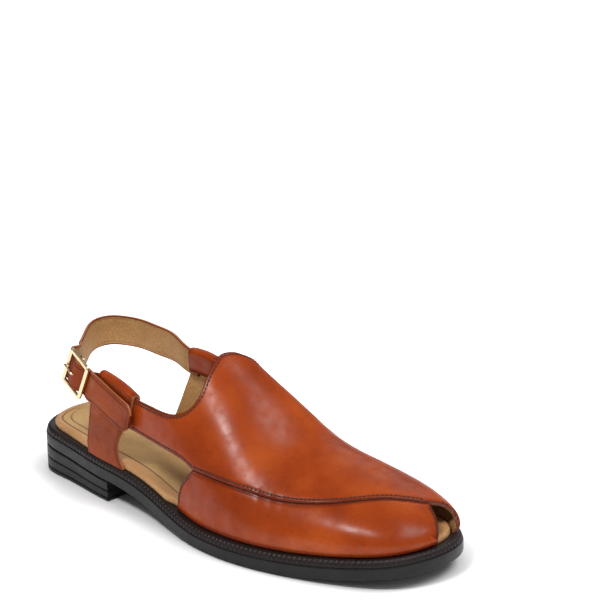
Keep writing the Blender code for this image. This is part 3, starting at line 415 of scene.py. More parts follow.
# ---------------------------------------------------------------- bench
@dataclass(frozen=True)
class Bench:
    """Where pieces are modelled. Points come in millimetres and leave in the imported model's frame.

    A stitch is its width, height and length; blunt rounds its ends and sunk lays it into the leather.
    """

    origin: np.ndarray
    merge: float = 2e-6
    round_sides: int = 24
    pitch: float = 2.5
    stitch: tuple = (1.0, 0.8, 2.0)
    blunt: float = 0.8
    sunk: float = 0.02

    def placed(self, points: np.ndarray) -> np.ndarray:
        """Millimetre points in metres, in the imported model's frame."""
        return (np.asarray(points, float) - self.origin) * MM

    @staticmethod
    def clear() -> None:
        """Deselects everything."""
        for thing in list(bpy.context.selected_objects):
            thing.select_set(False)

    def _finished(self, piece: bpy.types.Object, finishes: list, kinds: np.ndarray | list | None,
                  marks: dict, angle: float, merge: float = 0.0, ends: bool = False) -> bpy.types.Object:
        """Gives a piece its finishes and marks, and turns its faces outwards.

        Args:
            piece: the piece.
            finishes: its materials.
            kinds: number of the material of each face; none where there is only one.
            marks: named values a point.
            angle: edges sharper than this many degrees stay sharp.
            merge: points nearer than this many metres become one.
            ends: whether the holes that are left get a face.

        Returns:
            The piece.
        """
        for finish in finishes:
            piece.data.materials.append(finish)
        if kinds is not None:
            piece.data.polygons.foreach_set("material_index", np.asarray(kinds, np.int32).ravel())
        for mark, values in (marks or {}).items():
            layer = piece.data.attributes.new(mark, "FLOAT", "POINT")
            layer.data.foreach_set("value", np.asarray(values, np.float32).ravel())
        self.clear()
        bpy.context.view_layer.objects.active = piece
        piece.select_set(True)
        bpy.ops.object.mode_set(mode="EDIT")
        bpy.ops.mesh.select_all(action="SELECT")
        if merge:
            bpy.ops.mesh.remove_doubles(threshold=merge)
        if ends:
            bpy.ops.mesh.select_all(action="DESELECT")
            bpy.ops.mesh.select_non_manifold()
            bpy.ops.mesh.edge_face_add()
            bpy.ops.mesh.fill_holes(sides=0)
            bpy.ops.mesh.select_all(action="SELECT")
        bpy.ops.mesh.normals_make_consistent(inside=False)
        bpy.ops.object.mode_set(mode="OBJECT")
        bpy.ops.object.shade_smooth_by_angle(angle=math.radians(angle))
        return piece

    def sheet(self, name: str, rows: np.ndarray, finishes: list, kinds: np.ndarray = None,
              marks: dict = None, ends: bool = False, angle: float = 40.0) -> bpy.types.Object:
        """Adds a grid and shapes it row by row; touching rows and columns are merged.

        Args:
            name: the piece's name.
            rows: points as (row, column, 3).
            finishes: the piece's materials.
            kinds: number of the material of each grid face, as (row, column).
            marks: named values a point, as (row, column), kept as vertex attributes.
            ends: whether the holes that are left get a face.
            angle: edges sharper than this many degrees stay sharp.

        Returns:
            The piece.
        """
        down, across = rows.shape[:2]
        self.clear()
        bpy.ops.mesh.primitive_grid_add(x_subdivisions=across - 1, y_subdivisions=down - 1, size=0.1)
        piece = bpy.context.object
        piece.name = piece.data.name = name
        piece.data.vertices.foreach_set("co", self.placed(rows).astype(np.float32).ravel())
        return self._finished(piece, finishes, kinds, marks, angle, self.merge, ends)

    def rod(self, start: np.ndarray, end: np.ndarray, radius: float) -> bpy.types.Object:
        """Adds a round bar between two points."""
        self.clear()
        start, end = Vector(self.placed(start)), Vector(self.placed(end))
        way = end - start
        bpy.ops.mesh.primitive_cylinder_add(vertices=self.round_sides, radius=radius * MM,
                                            depth=way.length, location=(start + end) / 2.0,
                                            rotation=way.to_track_quat("Z", "Y").to_euler())
        return bpy.context.object

    def cut(self, piece: bpy.types.Object, start: np.ndarray, end: np.ndarray, radius: float) -> None:
        """Cuts a round hole between two points through a piece."""
        self._subtract(piece, self.rod(start, end, radius))

    def slot_cut(self, piece: bpy.types.Object, centre: np.ndarray, axes: tuple, size: tuple) -> None:
        """Cuts a box-shaped slot through a piece."""
        self.clear()
        bpy.ops.mesh.primitive_cube_add(size=MM)
        tool = bpy.context.object
        turned = Matrix([axis * length for axis, length in zip(axes, size)]).transposed().to_4x4()
        tool.data.transform(Matrix.Translation(Vector(self.placed(centre))) @ turned)
        self._subtract(piece, tool)

    def _subtract(self, piece: bpy.types.Object, tool: bpy.types.Object) -> None:
        """Takes a tool's shape out of a piece and throws the tool away."""
        self.clear()
        bpy.context.view_layer.objects.active = piece
        piece.select_set(True)
        modifier = piece.modifiers.new("cut", "BOOLEAN")
        modifier.operation, modifier.solver, modifier.object = "DIFFERENCE", "EXACT", tool
        bpy.ops.object.modifier_apply(modifier=modifier.name)
        bpy.data.objects.remove(tool)

    def joined(self, name: str, points: np.ndarray, faces: list, finishes: list, kinds: list,
               marks: dict = None, angle: float = 40.0) -> bpy.types.Object:
        """Piece from points and faces that no grid gives, such as a leather cut to a pattern.

        Args:
            name: the piece's name.
            points: one point a row.
            faces: point numbers of each face.
            finishes: the piece's materials.
            kinds: number of the material of each face.
            marks: named values a point.
            angle: edges sharper than this many degrees stay sharp.

        Returns:
            The piece.
        """
        mesh = bpy.data.meshes.new(name)
        mesh.from_pydata(self.placed(points).tolist(), [], faces)
        piece = bpy.data.objects.new(name, mesh)
        bpy.context.scene.collection.objects.link(piece)
        return self._finished(piece, finishes, kinds, marks, angle)

    def stitches(self, name: str, runs: list, finish: bpy.types.Material) -> bpy.types.Object:
        """Rows of stitches, each a small rounded thread end sunk half into the leather.

        Args:
            name: the piece's name.
            runs: (points, outward vectors) of each row.
            finish: the thread's material.

        Returns:
            The piece.
        """
        radius = 0.5
        self.clear()
        bpy.ops.mesh.primitive_uv_sphere_add(segments=6, ring_count=4, radius=radius)
        one = bpy.context.object
        shape = np.array([vertex.co for vertex in one.data.vertices])
        ends = np.abs(shape[:, 2] / radius) ** self.blunt * radius
        shape[:, 2] = np.copysign(ends, shape[:, 2])
        polygons = [list(face.vertices) for face in one.data.polygons]
        bpy.data.objects.remove(one)
        points, faces = [], []
        for line, outward in runs:
            lengths = travelled(line)
            count = max(1, int(lengths[-1] / self.pitch))
            step = lengths[-1] / count
            for place in (np.arange(count) + 0.5) * step:
                centre, before, after, out = (
                    np.array([np.interp(place + shift, lengths, source[:, k]) for k in range(3)])
                    for shift, source in ((0.0, line), (-0.5, line), (0.5, line), (0.0, outward)))
                along, out = unit(after - before), unit(out)
                side = unit(np.cross(out, along))
                out = np.cross(along, side)
                frame = np.stack([side, out, along]) * np.array(self.stitch)[:, None]
                first = len(points) * len(shape)
                points.append(shape @ frame + centre - out * self.sunk)
                faces += [[first + i for i in face] for face in polygons]
        return self.joined(name, np.concatenate(points), faces, [finish], [0] * len(faces), angle=80.0)


def kept(piece: bpy.types.Object, slot: Slot, *nodes: str) -> bpy.types.Object:
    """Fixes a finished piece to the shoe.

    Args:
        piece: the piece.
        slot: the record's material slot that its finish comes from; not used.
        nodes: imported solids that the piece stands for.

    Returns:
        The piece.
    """
    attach(piece, BODY)
    if nodes:
        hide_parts(*nodes)
    LOG.info("%s: %d faces", piece.name, len(piece.data.polygons))
    return piece


# ---------------------------------------------------------------- finishes
class Nodes:
    """A material's node tree while it is being wired."""

    def __init__(self, name: str) -> None:
        """Starts a material with its Principled shader."""
        self.material = bpy.data.materials.new(name)
        self.material.use_nodes = True
        self.tree = self.material.node_tree
        self.shader = self.tree.nodes["Principled BSDF"]
        self.place = self.tree.nodes.new("ShaderNodeTexCoord").outputs["Object"]

    def value(self, socket: str, setting: float | tuple) -> None:
        """Sets one of the shader's own sockets."""
        self.shader.inputs[socket].default_value = setting

    def wire(self, source: bpy.types.NodeSocket, target: bpy.types.NodeSocket) -> None:
        """Joins two sockets."""
        self.tree.links.new(source, target)

    def feed(self, socket: str, source: bpy.types.NodeSocket) -> None:
        """Joins a socket to one of the shader's own."""
        self.wire(source, self.shader.inputs[socket])

    def noise(self, scale: float, detail: float = 4.0, stretch: tuple = None) -> bpy.types.NodeSocket:
        """Noise over the piece's own coordinates, with cells of about 1 / scale metres."""
        node = self.tree.nodes.new("ShaderNodeTexNoise")
        node.inputs["Scale"].default_value = scale
        node.inputs["Detail"].default_value = detail
        source = self.place
        if stretch:
            mapping = self.tree.nodes.new("ShaderNodeMapping")
            mapping.inputs["Scale"].default_value = stretch
            self.wire(source, mapping.inputs["Vector"])
            source = mapping.outputs["Vector"]
        self.wire(source, node.inputs["Vector"])
        return node.outputs["Fac"]

    def cells(self, scale: float) -> bpy.types.NodeSocket:
        """Distance to the edges of small cells, as in leather grain."""
        node = self.tree.nodes.new("ShaderNodeTexVoronoi")
        node.feature = "DISTANCE_TO_EDGE"
        node.inputs["Scale"].default_value = scale
        self.wire(self.place, node.inputs["Vector"])
        return node.outputs["Distance"]

    def mark(self, name: str) -> bpy.types.NodeSocket:
        """A named value kept on the mesh."""
        node = self.tree.nodes.new("ShaderNodeAttribute")
        node.attribute_name = name
        return node.outputs["Fac"]

    def ramp(self, source: bpy.types.NodeSocket, stops: tuple) -> bpy.types.NodeSocket:
        """Colour ramp with (place, colour) stops."""
        node = self.tree.nodes.new("ShaderNodeValToRGB")
        band = node.color_ramp
        band.elements[0].position, band.elements[0].color = stops[0][0], (*stops[0][1], 1.0)
        band.elements[1].position, band.elements[1].color = stops[-1][0], (*stops[-1][1], 1.0)
        for place, colour in stops[1:-1]:
            band.elements.new(place).color = (*colour, 1.0)
        self.wire(source, node.inputs["Fac"])
        return node.outputs["Color"]

    def range(self, source: bpy.types.NodeSocket, low: float, high: float, start: float = 0.3,
              end: float = 0.7) -> bpy.types.NodeSocket:
        """Maps start to end of a value onto low to high."""
        node = self.tree.nodes.new("ShaderNodeMapRange")
        for name, setting in (("From Min", start), ("From Max", end), ("To Min", low), ("To Max", high)):
            node.inputs[name].default_value = setting
        self.wire(source, node.inputs["Value"])
        return node.outputs["Result"]

    def mix(self, share: bpy.types.NodeSocket, first: bpy.types.NodeSocket,
            second: tuple) -> bpy.types.NodeSocket:
        """First colour turned into the second one where share is 1."""
        node = self.tree.nodes.new("ShaderNodeMix")
        node.data_type = "RGBA"
        self.wire(share, node.inputs["Factor"])
        self.wire(first, node.inputs["A"])
        node.inputs["B"].default_value = (*second, 1.0)
        return node.outputs["Result"]

    def relief(self, layers: tuple) -> None:
        """Chains (height, strength, distance in metres) bumps onto the shader."""
        normal = None
        for height, strength, distance in layers:
            node = self.tree.nodes.new("ShaderNodeBump")
            node.inputs["Strength"].default_value = strength
            node.inputs["Distance"].default_value = distance
            self.wire(height, node.inputs["Height"])
            if normal:
                self.wire(normal, node.inputs["Normal"])
            normal = node.outputs["Normal"]
        self.feed("Normal", normal)


@dataclass(frozen=True)
class Burnished:
    """Glossy vegetable-tanned leather, darker by its mark: burnishing, and painted shadow along the side
    panel's seam.
    """

    name: str
    dark: tuple
    middle: tuple
    light: tuple
    burnt: tuple
    coat: float = 0.38

    def make(self) -> bpy.types.Material:
        """Wires the material."""
        nodes = Nodes(self.name)
        stops = ((0.3, self.dark), (0.5, self.middle), (0.7, self.light))
        base = nodes.ramp(nodes.noise(30.0, 6.0), stops)
        fleck = nodes.range(nodes.noise(420.0, 3.0), 0.0, 0.22, 0.55, 0.75)
        for share in (fleck, nodes.mark("burn_and_shade")):
            base = nodes.mix(share, base, self.burnt)
        nodes.feed("Base Color", base)
        nodes.feed("Roughness", nodes.range(nodes.noise(90.0, 4.0), 0.38, 0.52))
        rubbed = nodes.noise(150.0, 6.0)
        nodes.feed("Coat Weight", nodes.range(rubbed, 0.7 * self.coat, 1.3 * self.coat))
        nodes.feed("Coat Roughness", nodes.range(rubbed, 0.34, 0.22))
        nodes.value("Specular IOR Level", 0.0)
        nodes.relief(((nodes.noise(60.0, 3.0), 0.2, 0.0006), (nodes.cells(1500.0), 0.12, 0.00012),
                      (nodes.noise(900.0, 3.0), 0.15, 0.0001)))
        return nodes.material


@dataclass(frozen=True)
class Matt:
    """Lining, insole leather, raw edges and thread: matt, clouded and finely grained."""

    name: str
    dark: tuple
    light: tuple
    burnt: tuple
    rough: float = 0.7
    grain: float = 1400.0
    depth: float = 0.00012
    wrinkle: float = 0.1

    def make(self) -> bpy.types.Material:
        """Wires the material."""
        nodes = Nodes(self.name)
        base = nodes.ramp(nodes.noise(38.0, 6.0), ((0.3, self.dark), (0.7, self.light)))
        fleck = nodes.range(nodes.noise(self.grain / 2.0, 3.0), 0.0, 0.3, 0.5, 0.8)
        folds = nodes.cells(420.0)
        # Painted shade: the colour darkens along the fold lines of the cells, where the bump sinks them.
        dark_lines = nodes.range(folds, 0.5 * self.wrinkle, 0.0, 0.0, 0.14)
        for share in (fleck, nodes.mark("burn_and_shade"), dark_lines):
            base = nodes.mix(share, base, self.burnt)
        nodes.feed("Base Color", base)
        nodes.value("Roughness", self.rough)
        nodes.relief(((nodes.noise(160.0, 5.0), self.wrinkle, 0.0012), (folds, self.wrinkle, 0.0004),
                      (nodes.cells(self.grain), 0.3, self.depth)))
        return nodes.material


@dataclass(frozen=True)
class Rubber:
    """Black moulded rubber."""

    name: str
    colour: tuple
    rough: tuple
    shine: float = 0.25

    def make(self) -> bpy.types.Material:
        """Wires the material."""
        nodes = Nodes(self.name)
        lighter = tuple(1.5 * part + 0.002 for part in self.colour)
        nodes.value("Specular IOR Level", self.shine)
        cloud = nodes.noise(70.0, 5.0)
        nodes.feed("Base Color", nodes.ramp(cloud, ((0.35, self.colour), (0.8, lighter))))
        nodes.feed("Roughness", nodes.range(nodes.noise(160.0, 4.0), *self.rough))
        nodes.relief(((nodes.noise(1300.0, 3.0), 0.12, 0.0001), (nodes.noise(150.0, 3.0), 0.08, 0.0003)))
        return nodes.material


@dataclass(frozen=True)
class Plated:
    """Pale gold plating with fine brushing."""

    name: str = "pale_gold"
    colour: tuple = (0.70, 0.53, 0.33)

    def make(self) -> bpy.types.Material:
        """Wires the material."""
        nodes = Nodes(self.name)
        paler = tuple(min(1.0, 1.12 * part) for part in self.colour)
        cloud = nodes.noise(300.0, 4.0)
        nodes.feed("Base Color", nodes.ramp(cloud, ((0.35, self.colour), (0.7, paler))))
        nodes.value("Metallic", 1.0)
        nodes.feed("Roughness", nodes.range(nodes.noise(700.0, 3.0, (1.0, 0.15, 0.15)), 0.2, 0.34))
        nodes.relief(((nodes.noise(900.0, 2.0, (1.0, 0.1, 0.1)), 0.05, 0.00005),))
        return nodes.material


class Finishes:
    """All finishes of the shoe."""

    def __init__(self) -> None:
        """Makes each finish once."""
        self.upper = Burnished("chestnut_leather", (0.22, 0.028, 0.0042), (0.31, 0.044, 0.0056),
                               (0.40, 0.068, 0.0095), (0.07, 0.006, 0.0025)).make()
        self.strap = Burnished("strap_leather", (0.17, 0.026, 0.0045), (0.23, 0.038, 0.0068),
                               (0.29, 0.054, 0.0095), (0.06, 0.007, 0.003), 0.24).make()
        self.lining = Matt("tan_lining", (0.41, 0.215, 0.075), (0.54, 0.31, 0.115),
                           (0.22, 0.10, 0.035), wrinkle=0.6).make()
        self.edge = Matt("raw_edge", (0.34, 0.10, 0.03), (0.50, 0.18, 0.06), (0.10, 0.02, 0.01),
                         0.55).make()
        self.bed = Matt("insole_bed", (0.46, 0.27, 0.105), (0.57, 0.355, 0.145),
                        (0.10, 0.04, 0.014)).make()
        self.rand = Matt("insole_rand", (0.46, 0.225, 0.088), (0.57, 0.31, 0.12),
                         (0.13, 0.05, 0.018), 0.5).make()
        self.thread = Matt("burgundy_thread", (0.022, 0.005, 0.004), (0.045, 0.009, 0.007),
                           (0.012, 0.003, 0.003), 0.6).make()
        self.sole = Rubber("sole_side", (0.006, 0.006, 0.006), (0.38, 0.5)).make()
        self.ribs = Rubber("welt_ribs", (0.014, 0.009, 0.0085), (0.36, 0.5)).make()
        self.tread = Rubber("tread", (0.010, 0.010, 0.010), (0.6, 0.75)).make()
        self.gold = Plated().make()


# ---------------------------------------------------------------- sole
@dataclass
class SoleUnit:
    """Rubber sole: outsole with arch, ribbed welt and heel block.

    The starts are a length on the sole and the run over which the form grows to its full depth. The
    heel's grooves are shares of its height; their profile gives heights and shares of their depth.
    """

    bench: Bench
    finishes: Finishes
    points: int = 480
    welt_inner: float = 7.4
    rib_pitch: float = 3.15
    rib_depth: float = 0.6
    rib_steps: int = 8
    rib_start: tuple = (85.0, 40.0)
    rib_heel: float = 0.45
    seat_inset: float = 7.8
    seat_drop: float = 0.05
    tread_inset: float = 6.4
    tread_pitch: float = 6.5
    tread_depth: float = 0.9
    tread_start: tuple = (92.0, 6.0)
    heel_points: int = 140
    grooves: tuple = (0.18, 0.55)
    groove_depth: float = 0.8
    groove_profile: tuple = ((-0.62, 0.0), (-0.42, 0.14), (-0.2, 0.7), (0.0, 0.95), (0.2, 0.7),
                             (0.42, 0.14), (0.62, 0.0))

    def build(self) -> None:
        """Makes the three pieces."""
        self.outsole()
        self.welt()
        self.heel()

    def outsole(self) -> bpy.types.Object:
        """Outsole with rounded edges, a cross-ribbed tread and the seat under the welt."""
        angles = np.arange(self.points) * TURN / self.points
        y = SOLE.outline(angles, 0.0)[:, 1]
        start, run = self.tread_start
        groove = self.tread(y) * smoothstep((y - start) / run)
        side, seat = SOLE.edge_side, SOLE.edge_side - self.seat_drop
        under = SOLE.ring(angles, self.tread_inset, 0.0)
        top = SOLE.ring(angles, self.seat_inset, SOLE.edge_total)
        rows = [drawn_in(under, share, groove) for share in (1.0, 0.5, 0.03)] + [under]
        rows += [SOLE.ring(angles, inset, height) for inset, height in (
            (1.6, 0.0), (0.9, 0.12), (0.35, 0.45), (0.08, 0.9), (0.0, 1.5), (0.0, side - 1.0),
            (0.08, side - 0.5), (0.3, side - 0.15), (0.7, side - 0.02), (1.4, seat),
            (self.seat_inset, seat))]
        rows += [top] + [drawn_in(top, share) for share in (0.5, 1.0)]
        return kept(self.block("outsole_unit", rows), Slot.SOLE, "outsole")

    def tread(self, y: np.ndarray) -> np.ndarray:
        """Depth of the tread's cross grooves at length y."""
        wave = np.abs(np.mod(y / self.tread_pitch, 1.0) - 0.5) * 2.0
        return self.tread_depth * smoothstep((wave - 0.55) / 0.2)

    def block(self, name: str, rows: list) -> bpy.types.Object:
        """Rubber block from rings; the first four bands of faces are its tread."""
        rows = wrapped(rows)
        kinds = np.zeros((len(rows) - 1, rows.shape[1] - 1), int)
        kinds[:4] = 1
        return self.bench.sheet(name, rows, [self.finishes.sole, self.finishes.tread], kinds)

    def welt(self) -> bpy.types.Object:
        """Welt whose outer face is cut into fine leaning ribs."""
        girth = travelled(SOLE.outline(np.linspace(0.0, TURN, SOLE.samples), 0.0))[-1]
        count = int(round(girth / self.rib_pitch)) * self.rib_steps
        angles = SOLE.even_angles(count, 0.0)
        low, high = SOLE.edge_side - self.seat_drop, SOLE.edge_total
        phase = np.abs(np.mod(np.arange(count) / self.rib_steps, 1.0) - 0.5) * 2.0
        start, run = self.rib_start
        forepart = smoothstep((SOLE.outline(angles, 0.0)[:, 1] - start) / run)
        groove = smoothstep((phase - 0.25) / 0.4) * (self.rib_heel + (1.0 - self.rib_heel) * forepart)
        rows = []
        for inset, height, share in (
                (0.75, low, 0.0), (0.65, low + 0.35, 0.0), (0.55, low + 0.5, 0.25),
                (0.55, low + 0.7, 0.8), (0.62, low + 1.2, 1.0), (0.85, low + 2.0, 1.0),
                (1.2, low + 2.7, 1.0), (1.65, low + 3.2, 0.9), (2.1, high - 0.25, 0.7),
                (2.45, high - 0.1, 0.25), (2.65, high - 0.02, 0.0)):
            cut = self.rib_depth * share * groove
            slope = min(1.0, max(0.0, (inset - 0.55) / 1.6))
            inward, down = cut * (1.0 - 0.6 * slope), cut * 0.75 * slope
            rows.append(SOLE.ring(angles, inset + inward, height - down))
        rows += [SOLE.ring(angles, inset, height) for inset, height in (
            (3.3, high + 0.02), (4.0, high + 0.1), (4.8, high + 0.08), (self.welt_inner, high),
            (self.welt_inner, low))]
        rows = wrapped(rows + rows[:1])
        piece = self.bench.sheet("ribbed_welt", rows, [self.finishes.ribs], angle=50.0)
        return kept(piece, Slot.WELT, "welt")

    def heel(self) -> bpy.types.Object:
        """Heel block with grooves round it, a cross-ribbed base and a flat breast."""
        end = float(SOLE.angle_of(SOLE.heel_breast))
        angles = np.linspace(-end, end, self.heel_points)
        full = float(SOLE.bottom(SOLE.heel_breast))

        def ring(inset: float, share: float) -> np.ndarray:
            flat = SOLE.outline(angles, np.full(angles.shape, inset))
            flat[:, 1] = np.minimum(flat[:, 1], SOLE.heel_breast - inset * 0.5)
            height = (SOLE.bottom(flat[:, 1]) - SOLE.gap) * share
            return np.concatenate([flat, height[:, None]], axis=1)

        base, top = ring(5.0, 0.0), ring(0.7, 1.0)
        cut = self.tread(base[:, 1])
        rows = [drawn_in(base, share, cut, 0) for share in (1.0, 0.5, 0.04)] + [base]
        rows += [ring(1.2, 0.0), ring(0.5, 0.15 / full), ring(0.12, 0.45 / full), ring(0.0, 1.0 / full)]
        rows += [ring(self.groove_depth * depth, groove + step / full)
                 for groove in self.grooves for step, depth in self.groove_profile]
        rows += [ring(0.0, 1.0 - 0.7 / full), ring(0.15, 1.0 - 0.3 / full), top]
        rows += [drawn_in(top, share, 0.0, 0) for share in (0.5, 1.0)]
        return kept(self.block("heel_block", rows), Slot.SOLE, "heel")


@dataclass
class Footbed:
    """Leather insole: wrapped edge, a pressed line inside it and one round the heel pad.

    Pairs are a place in millimetres and the run over which a form grows from there: the edge's step
    inwards ahead of the upper's starts, the end of the heel's narrower edge, the line's move inwards at
    the waist, and where the lines turn faint. The pad's rounds are the lengths over which it closes.
    """

    bench: Bench
    finishes: Finishes
    points: int = 360
    thick: float = 3.6
    open_inset: float = 4.6
    heel_inset: float = 5.8
    upper_inset: float = 7.3
    outer_start: float = 139.2
    inner_start: float = 142.5
    cover_run: tuple = (11.0, 7.0)
    heel_end: tuple = (10.0, 40.0)
    line_heel: float = 4.4
    line_waist: float = 7.6
    waist_start: tuple = (25.0, 45.0)
    pad_front: float = 58.0
    pad_back: float = 9.5
    pad_rounds: tuple = (22.0, 14.0)
    pad_line: float = 3.6
    dish: float = 0.5
    faint: float = 0.8
    faint_inner: tuple = (12.0, 24.0)
    faint_rear: tuple = (60.0, 30.0)

    def inset(self, angles: np.ndarray) -> np.ndarray:
        """Distance of the edge from the sole's edge."""
        y = SOLE.length / 2.0 * (1.0 - np.cos(angles))
        starts = np.where(np.sin(angles) >= 0.0, self.outer_start, self.inner_start)
        ahead, run = self.cover_run
        covered = smoothstep((y - starts + ahead) / run)
        end, fade = self.heel_end
        heel = 1.0 - smoothstep((y - end) / fade)
        edge = self.open_inset + (self.heel_inset - self.open_inset) * heel
        return edge + (self.upper_inset - edge) * covered

    def build(self) -> bpy.types.Object:
        """Makes the insole."""
        angles = np.arange(self.points) * TURN / self.points
        inset = self.inset(angles)
        edge = SOLE.outline(angles, 0.0)
        low = SOLE.edge_total + SOLE.gap
        top = low + self.thick
        start, run = self.waist_start
        waist = smoothstep((edge[:, 1] - start) / run)
        line = self.line_heel + (self.line_waist - self.line_heel) * waist
        seat = SOLE.ring(angles, inset + 2.0, low)
        rows = [drawn_in(seat, 1.0), seat]
        rows += [SOLE.ring(angles, inset + step, height) for step, height in (
            (0.0, low), (0.0, top - 2.6), (0.12, top - 1.7), (0.45, top - 0.9), (1.0, top - 0.35),
            (1.8, top - 0.06), (2.8, top))]
        marks = [np.zeros(self.points)] * len(rows)
        line_row = len(rows) + 2
        near = self.pressed(edge)
        for step, drop, burn_and_shade in ((-0.8, 0.0, 0.0), (-0.4, 0.1, 0.5), (0.0, 0.4, 1.0), (0.4, 0.1, 0.5),
                                 (0.8, 0.0, 0.0)):
            rows.append(SOLE.ring(angles, inset + line + step, top - drop * near))
            marks.append(burn_and_shade * near)
        inner = SOLE.ring(angles, inset + line + 1.6, top)
        for share in (*np.linspace(0.0, 0.5, 22), *np.linspace(0.56, 1.0, 9)):
            ring = drawn_in(inner, share)
            groove = self.pad_groove(ring, inner)
            ring[:, 2] -= self.dish * smoothstep(share / 0.8) + 0.25 * groove
            rows.append(ring)
            marks.append(0.9 * groove)
        kinds = np.zeros((len(rows) - 1, self.points), int)
        kinds[:line_row] = 1
        piece = self.bench.sheet("footbed", wrapped(rows), [self.finishes.bed, self.finishes.rand],
                                 kinds, {"burn_and_shade": wrapped(marks)})
        return kept(piece, Slot.INSOLE, "insole")

    def pad_groove(self, ring: np.ndarray, inner: np.ndarray) -> np.ndarray:
        """How much each point lies on the pressed line round the heel pad, from 0 to 1."""
        over = np.roll(inner[::-1, 0], 1)
        half, middle = np.abs(inner[:, 0] - over) / 2.0, (inner[:, 0] + over) / 2.0
        y = ring[:, 1]
        front_round, back_round = self.pad_rounds
        front = np.clip((y - self.pad_front + front_round) / front_round, 0.0, 1.0)
        back = np.clip((self.pad_back + back_round - y) / back_round, 0.0, 1.0)
        width = (half - self.pad_line) * np.sqrt(1.0 - front ** 2) * np.sqrt(1.0 - back ** 2)
        across = np.abs(ring[:, 0] - middle)
        held = (y < self.pad_front - 0.3) & (y > self.pad_back + 0.3)
        return bump(across - width, 0.6) * held * self.pressed(ring)

    def pressed(self, points: np.ndarray) -> np.ndarray:
        """How deep the pressed lines are at each point: fainter round the inner side of the heel."""
        inner, rear = (smoothstep((start - points[:, k]) / run)
                       for k, (start, run) in enumerate((self.faint_inner, self.faint_rear)))
        return 1.0 - self.faint * inner * rear


# ---------------------------------------------------------------- upper
SKIN, LINED, RAW, LIT_FOLD = range(4)


@dataclass(frozen=True)
class Pattern:
    """Flat pattern of the upper: an ellipse as long as the sole."""

    half_width: float = 75.0
    grid: float = 2.5
    edge: float = 1.25
    feather_points: int = 60

    def flat(self, rows: tuple) -> np.ndarray:
        """Flat points of (station, girth) rows."""
        rows = np.asarray(rows, float)
        return np.stack([rows[..., 0], rows[..., 1] * self.half(rows[..., 0])], -1)

    def half(self, station: np.ndarray) -> np.ndarray:
        """Half width of the pattern at a station."""
        return self.half_width * np.sin(SOLE.angle_of(station))

    def read(self, points: np.ndarray) -> tuple[np.ndarray, np.ndarray]:
        """Station and girth of flat points."""
        return points[..., 0], np.clip(points[..., 1] / self.half(points[..., 0]), -1.0, 1.0)

    def curve(self, rows: tuple) -> np.ndarray:
        """Smooth evenly spaced edge through (station, girth) rows."""
        points = self.flat(rows)
        lengths = travelled(points)
        places = np.linspace(0.0, lengths[-1], max(2, int(round(lengths[-1] / self.edge))) + 1)
        smooth = np.stack([Spline(lengths, points[:, k])(places) for k in range(2)], -1)
        smooth[0], smooth[-1] = points[0], points[-1]
        return smooth

    def feather(self, start: float, end: float, side: Side) -> np.ndarray:
        """Edge along a feather line between two stations."""
        angles = np.linspace(SOLE.angle_of(start), SOLE.angle_of(end), self.feather_points)
        station = SOLE.length / 2.0 * (1.0 - np.cos(angles))
        points = self.curve(np.stack([station, np.full(len(angles), float(side.value))], -1))
        points[:, 1] = side.value * self.half(points[:, 0])
        return points

    def straight(self, start: tuple, end: tuple) -> np.ndarray:
        """Straight edge between two (station, girth) rows."""
        ends = self.flat((start, end))
        count = max(1, int(round(np.linalg.norm(ends[1] - ends[0]) / self.edge)))
        share = np.linspace(0.0, 1.0, count + 1)[:, None]
        return ends[0] * (1.0 - share) + ends[1] * share

    def filling(self, polygon: np.ndarray) -> np.ndarray:
        """Evenly spaced points inside a polygon, in staggered rows."""
        low, high = polygon.min(axis=0), polygon.max(axis=0)
        row_step = self.grid * math.sqrt(0.75)
        lines = []
        for row in range(int((high[1] - low[1]) / row_step) + 1):
            x = np.arange(low[0] + (row % 2) * self.grid / 2.0, high[0], self.grid)
            lines.append(np.stack([x, np.full(len(x), low[1] + row * row_step)], -1))
        points = np.concatenate(lines)
        return points[inside(points, polygon)]


def inside(points: np.ndarray, polygon: np.ndarray) -> np.ndarray:
    """Whether each point lies inside a polygon, by counting crossings."""
    x, y = points[:, 0][:, None], points[:, 1][:, None]
    ax, ay = polygon[:, 0], polygon[:, 1]
    bx, by = np.roll(ax, -1), np.roll(ay, -1)
    crosses = (ay > y) != (by > y)
    with np.errstate(divide="ignore", invalid="ignore"):
        where = ax + (y - ay) * (bx - ax) / (by - ay)
    return (np.sum(crosses & (x < where), axis=1) % 2).astype(bool)


def to_edge(points: np.ndarray, polygon: np.ndarray,
            block: int = 1500) -> tuple[np.ndarray, np.ndarray]:
    """Distance of each point to a closed polygon, and the number of the nearest edge."""
    run = np.roll(polygon, -1, axis=0) - polygon
    square = np.maximum(np.sum(run * run, -1), 1e-12)
    distance, nearest = [], []
    for some in np.array_split(points, max(1, len(points) // block)):
        offset = some[:, None] - polygon[None]
        share = np.clip(np.sum(offset * run[None], -1) / square, 0.0, 1.0)
        gaps = np.linalg.norm(offset - share[..., None] * run[None], axis=-1)
        nearest.append(np.argmin(gaps, axis=1))
        distance.append(np.min(gaps, axis=1))
    return np.concatenate(distance), np.concatenate(nearest)


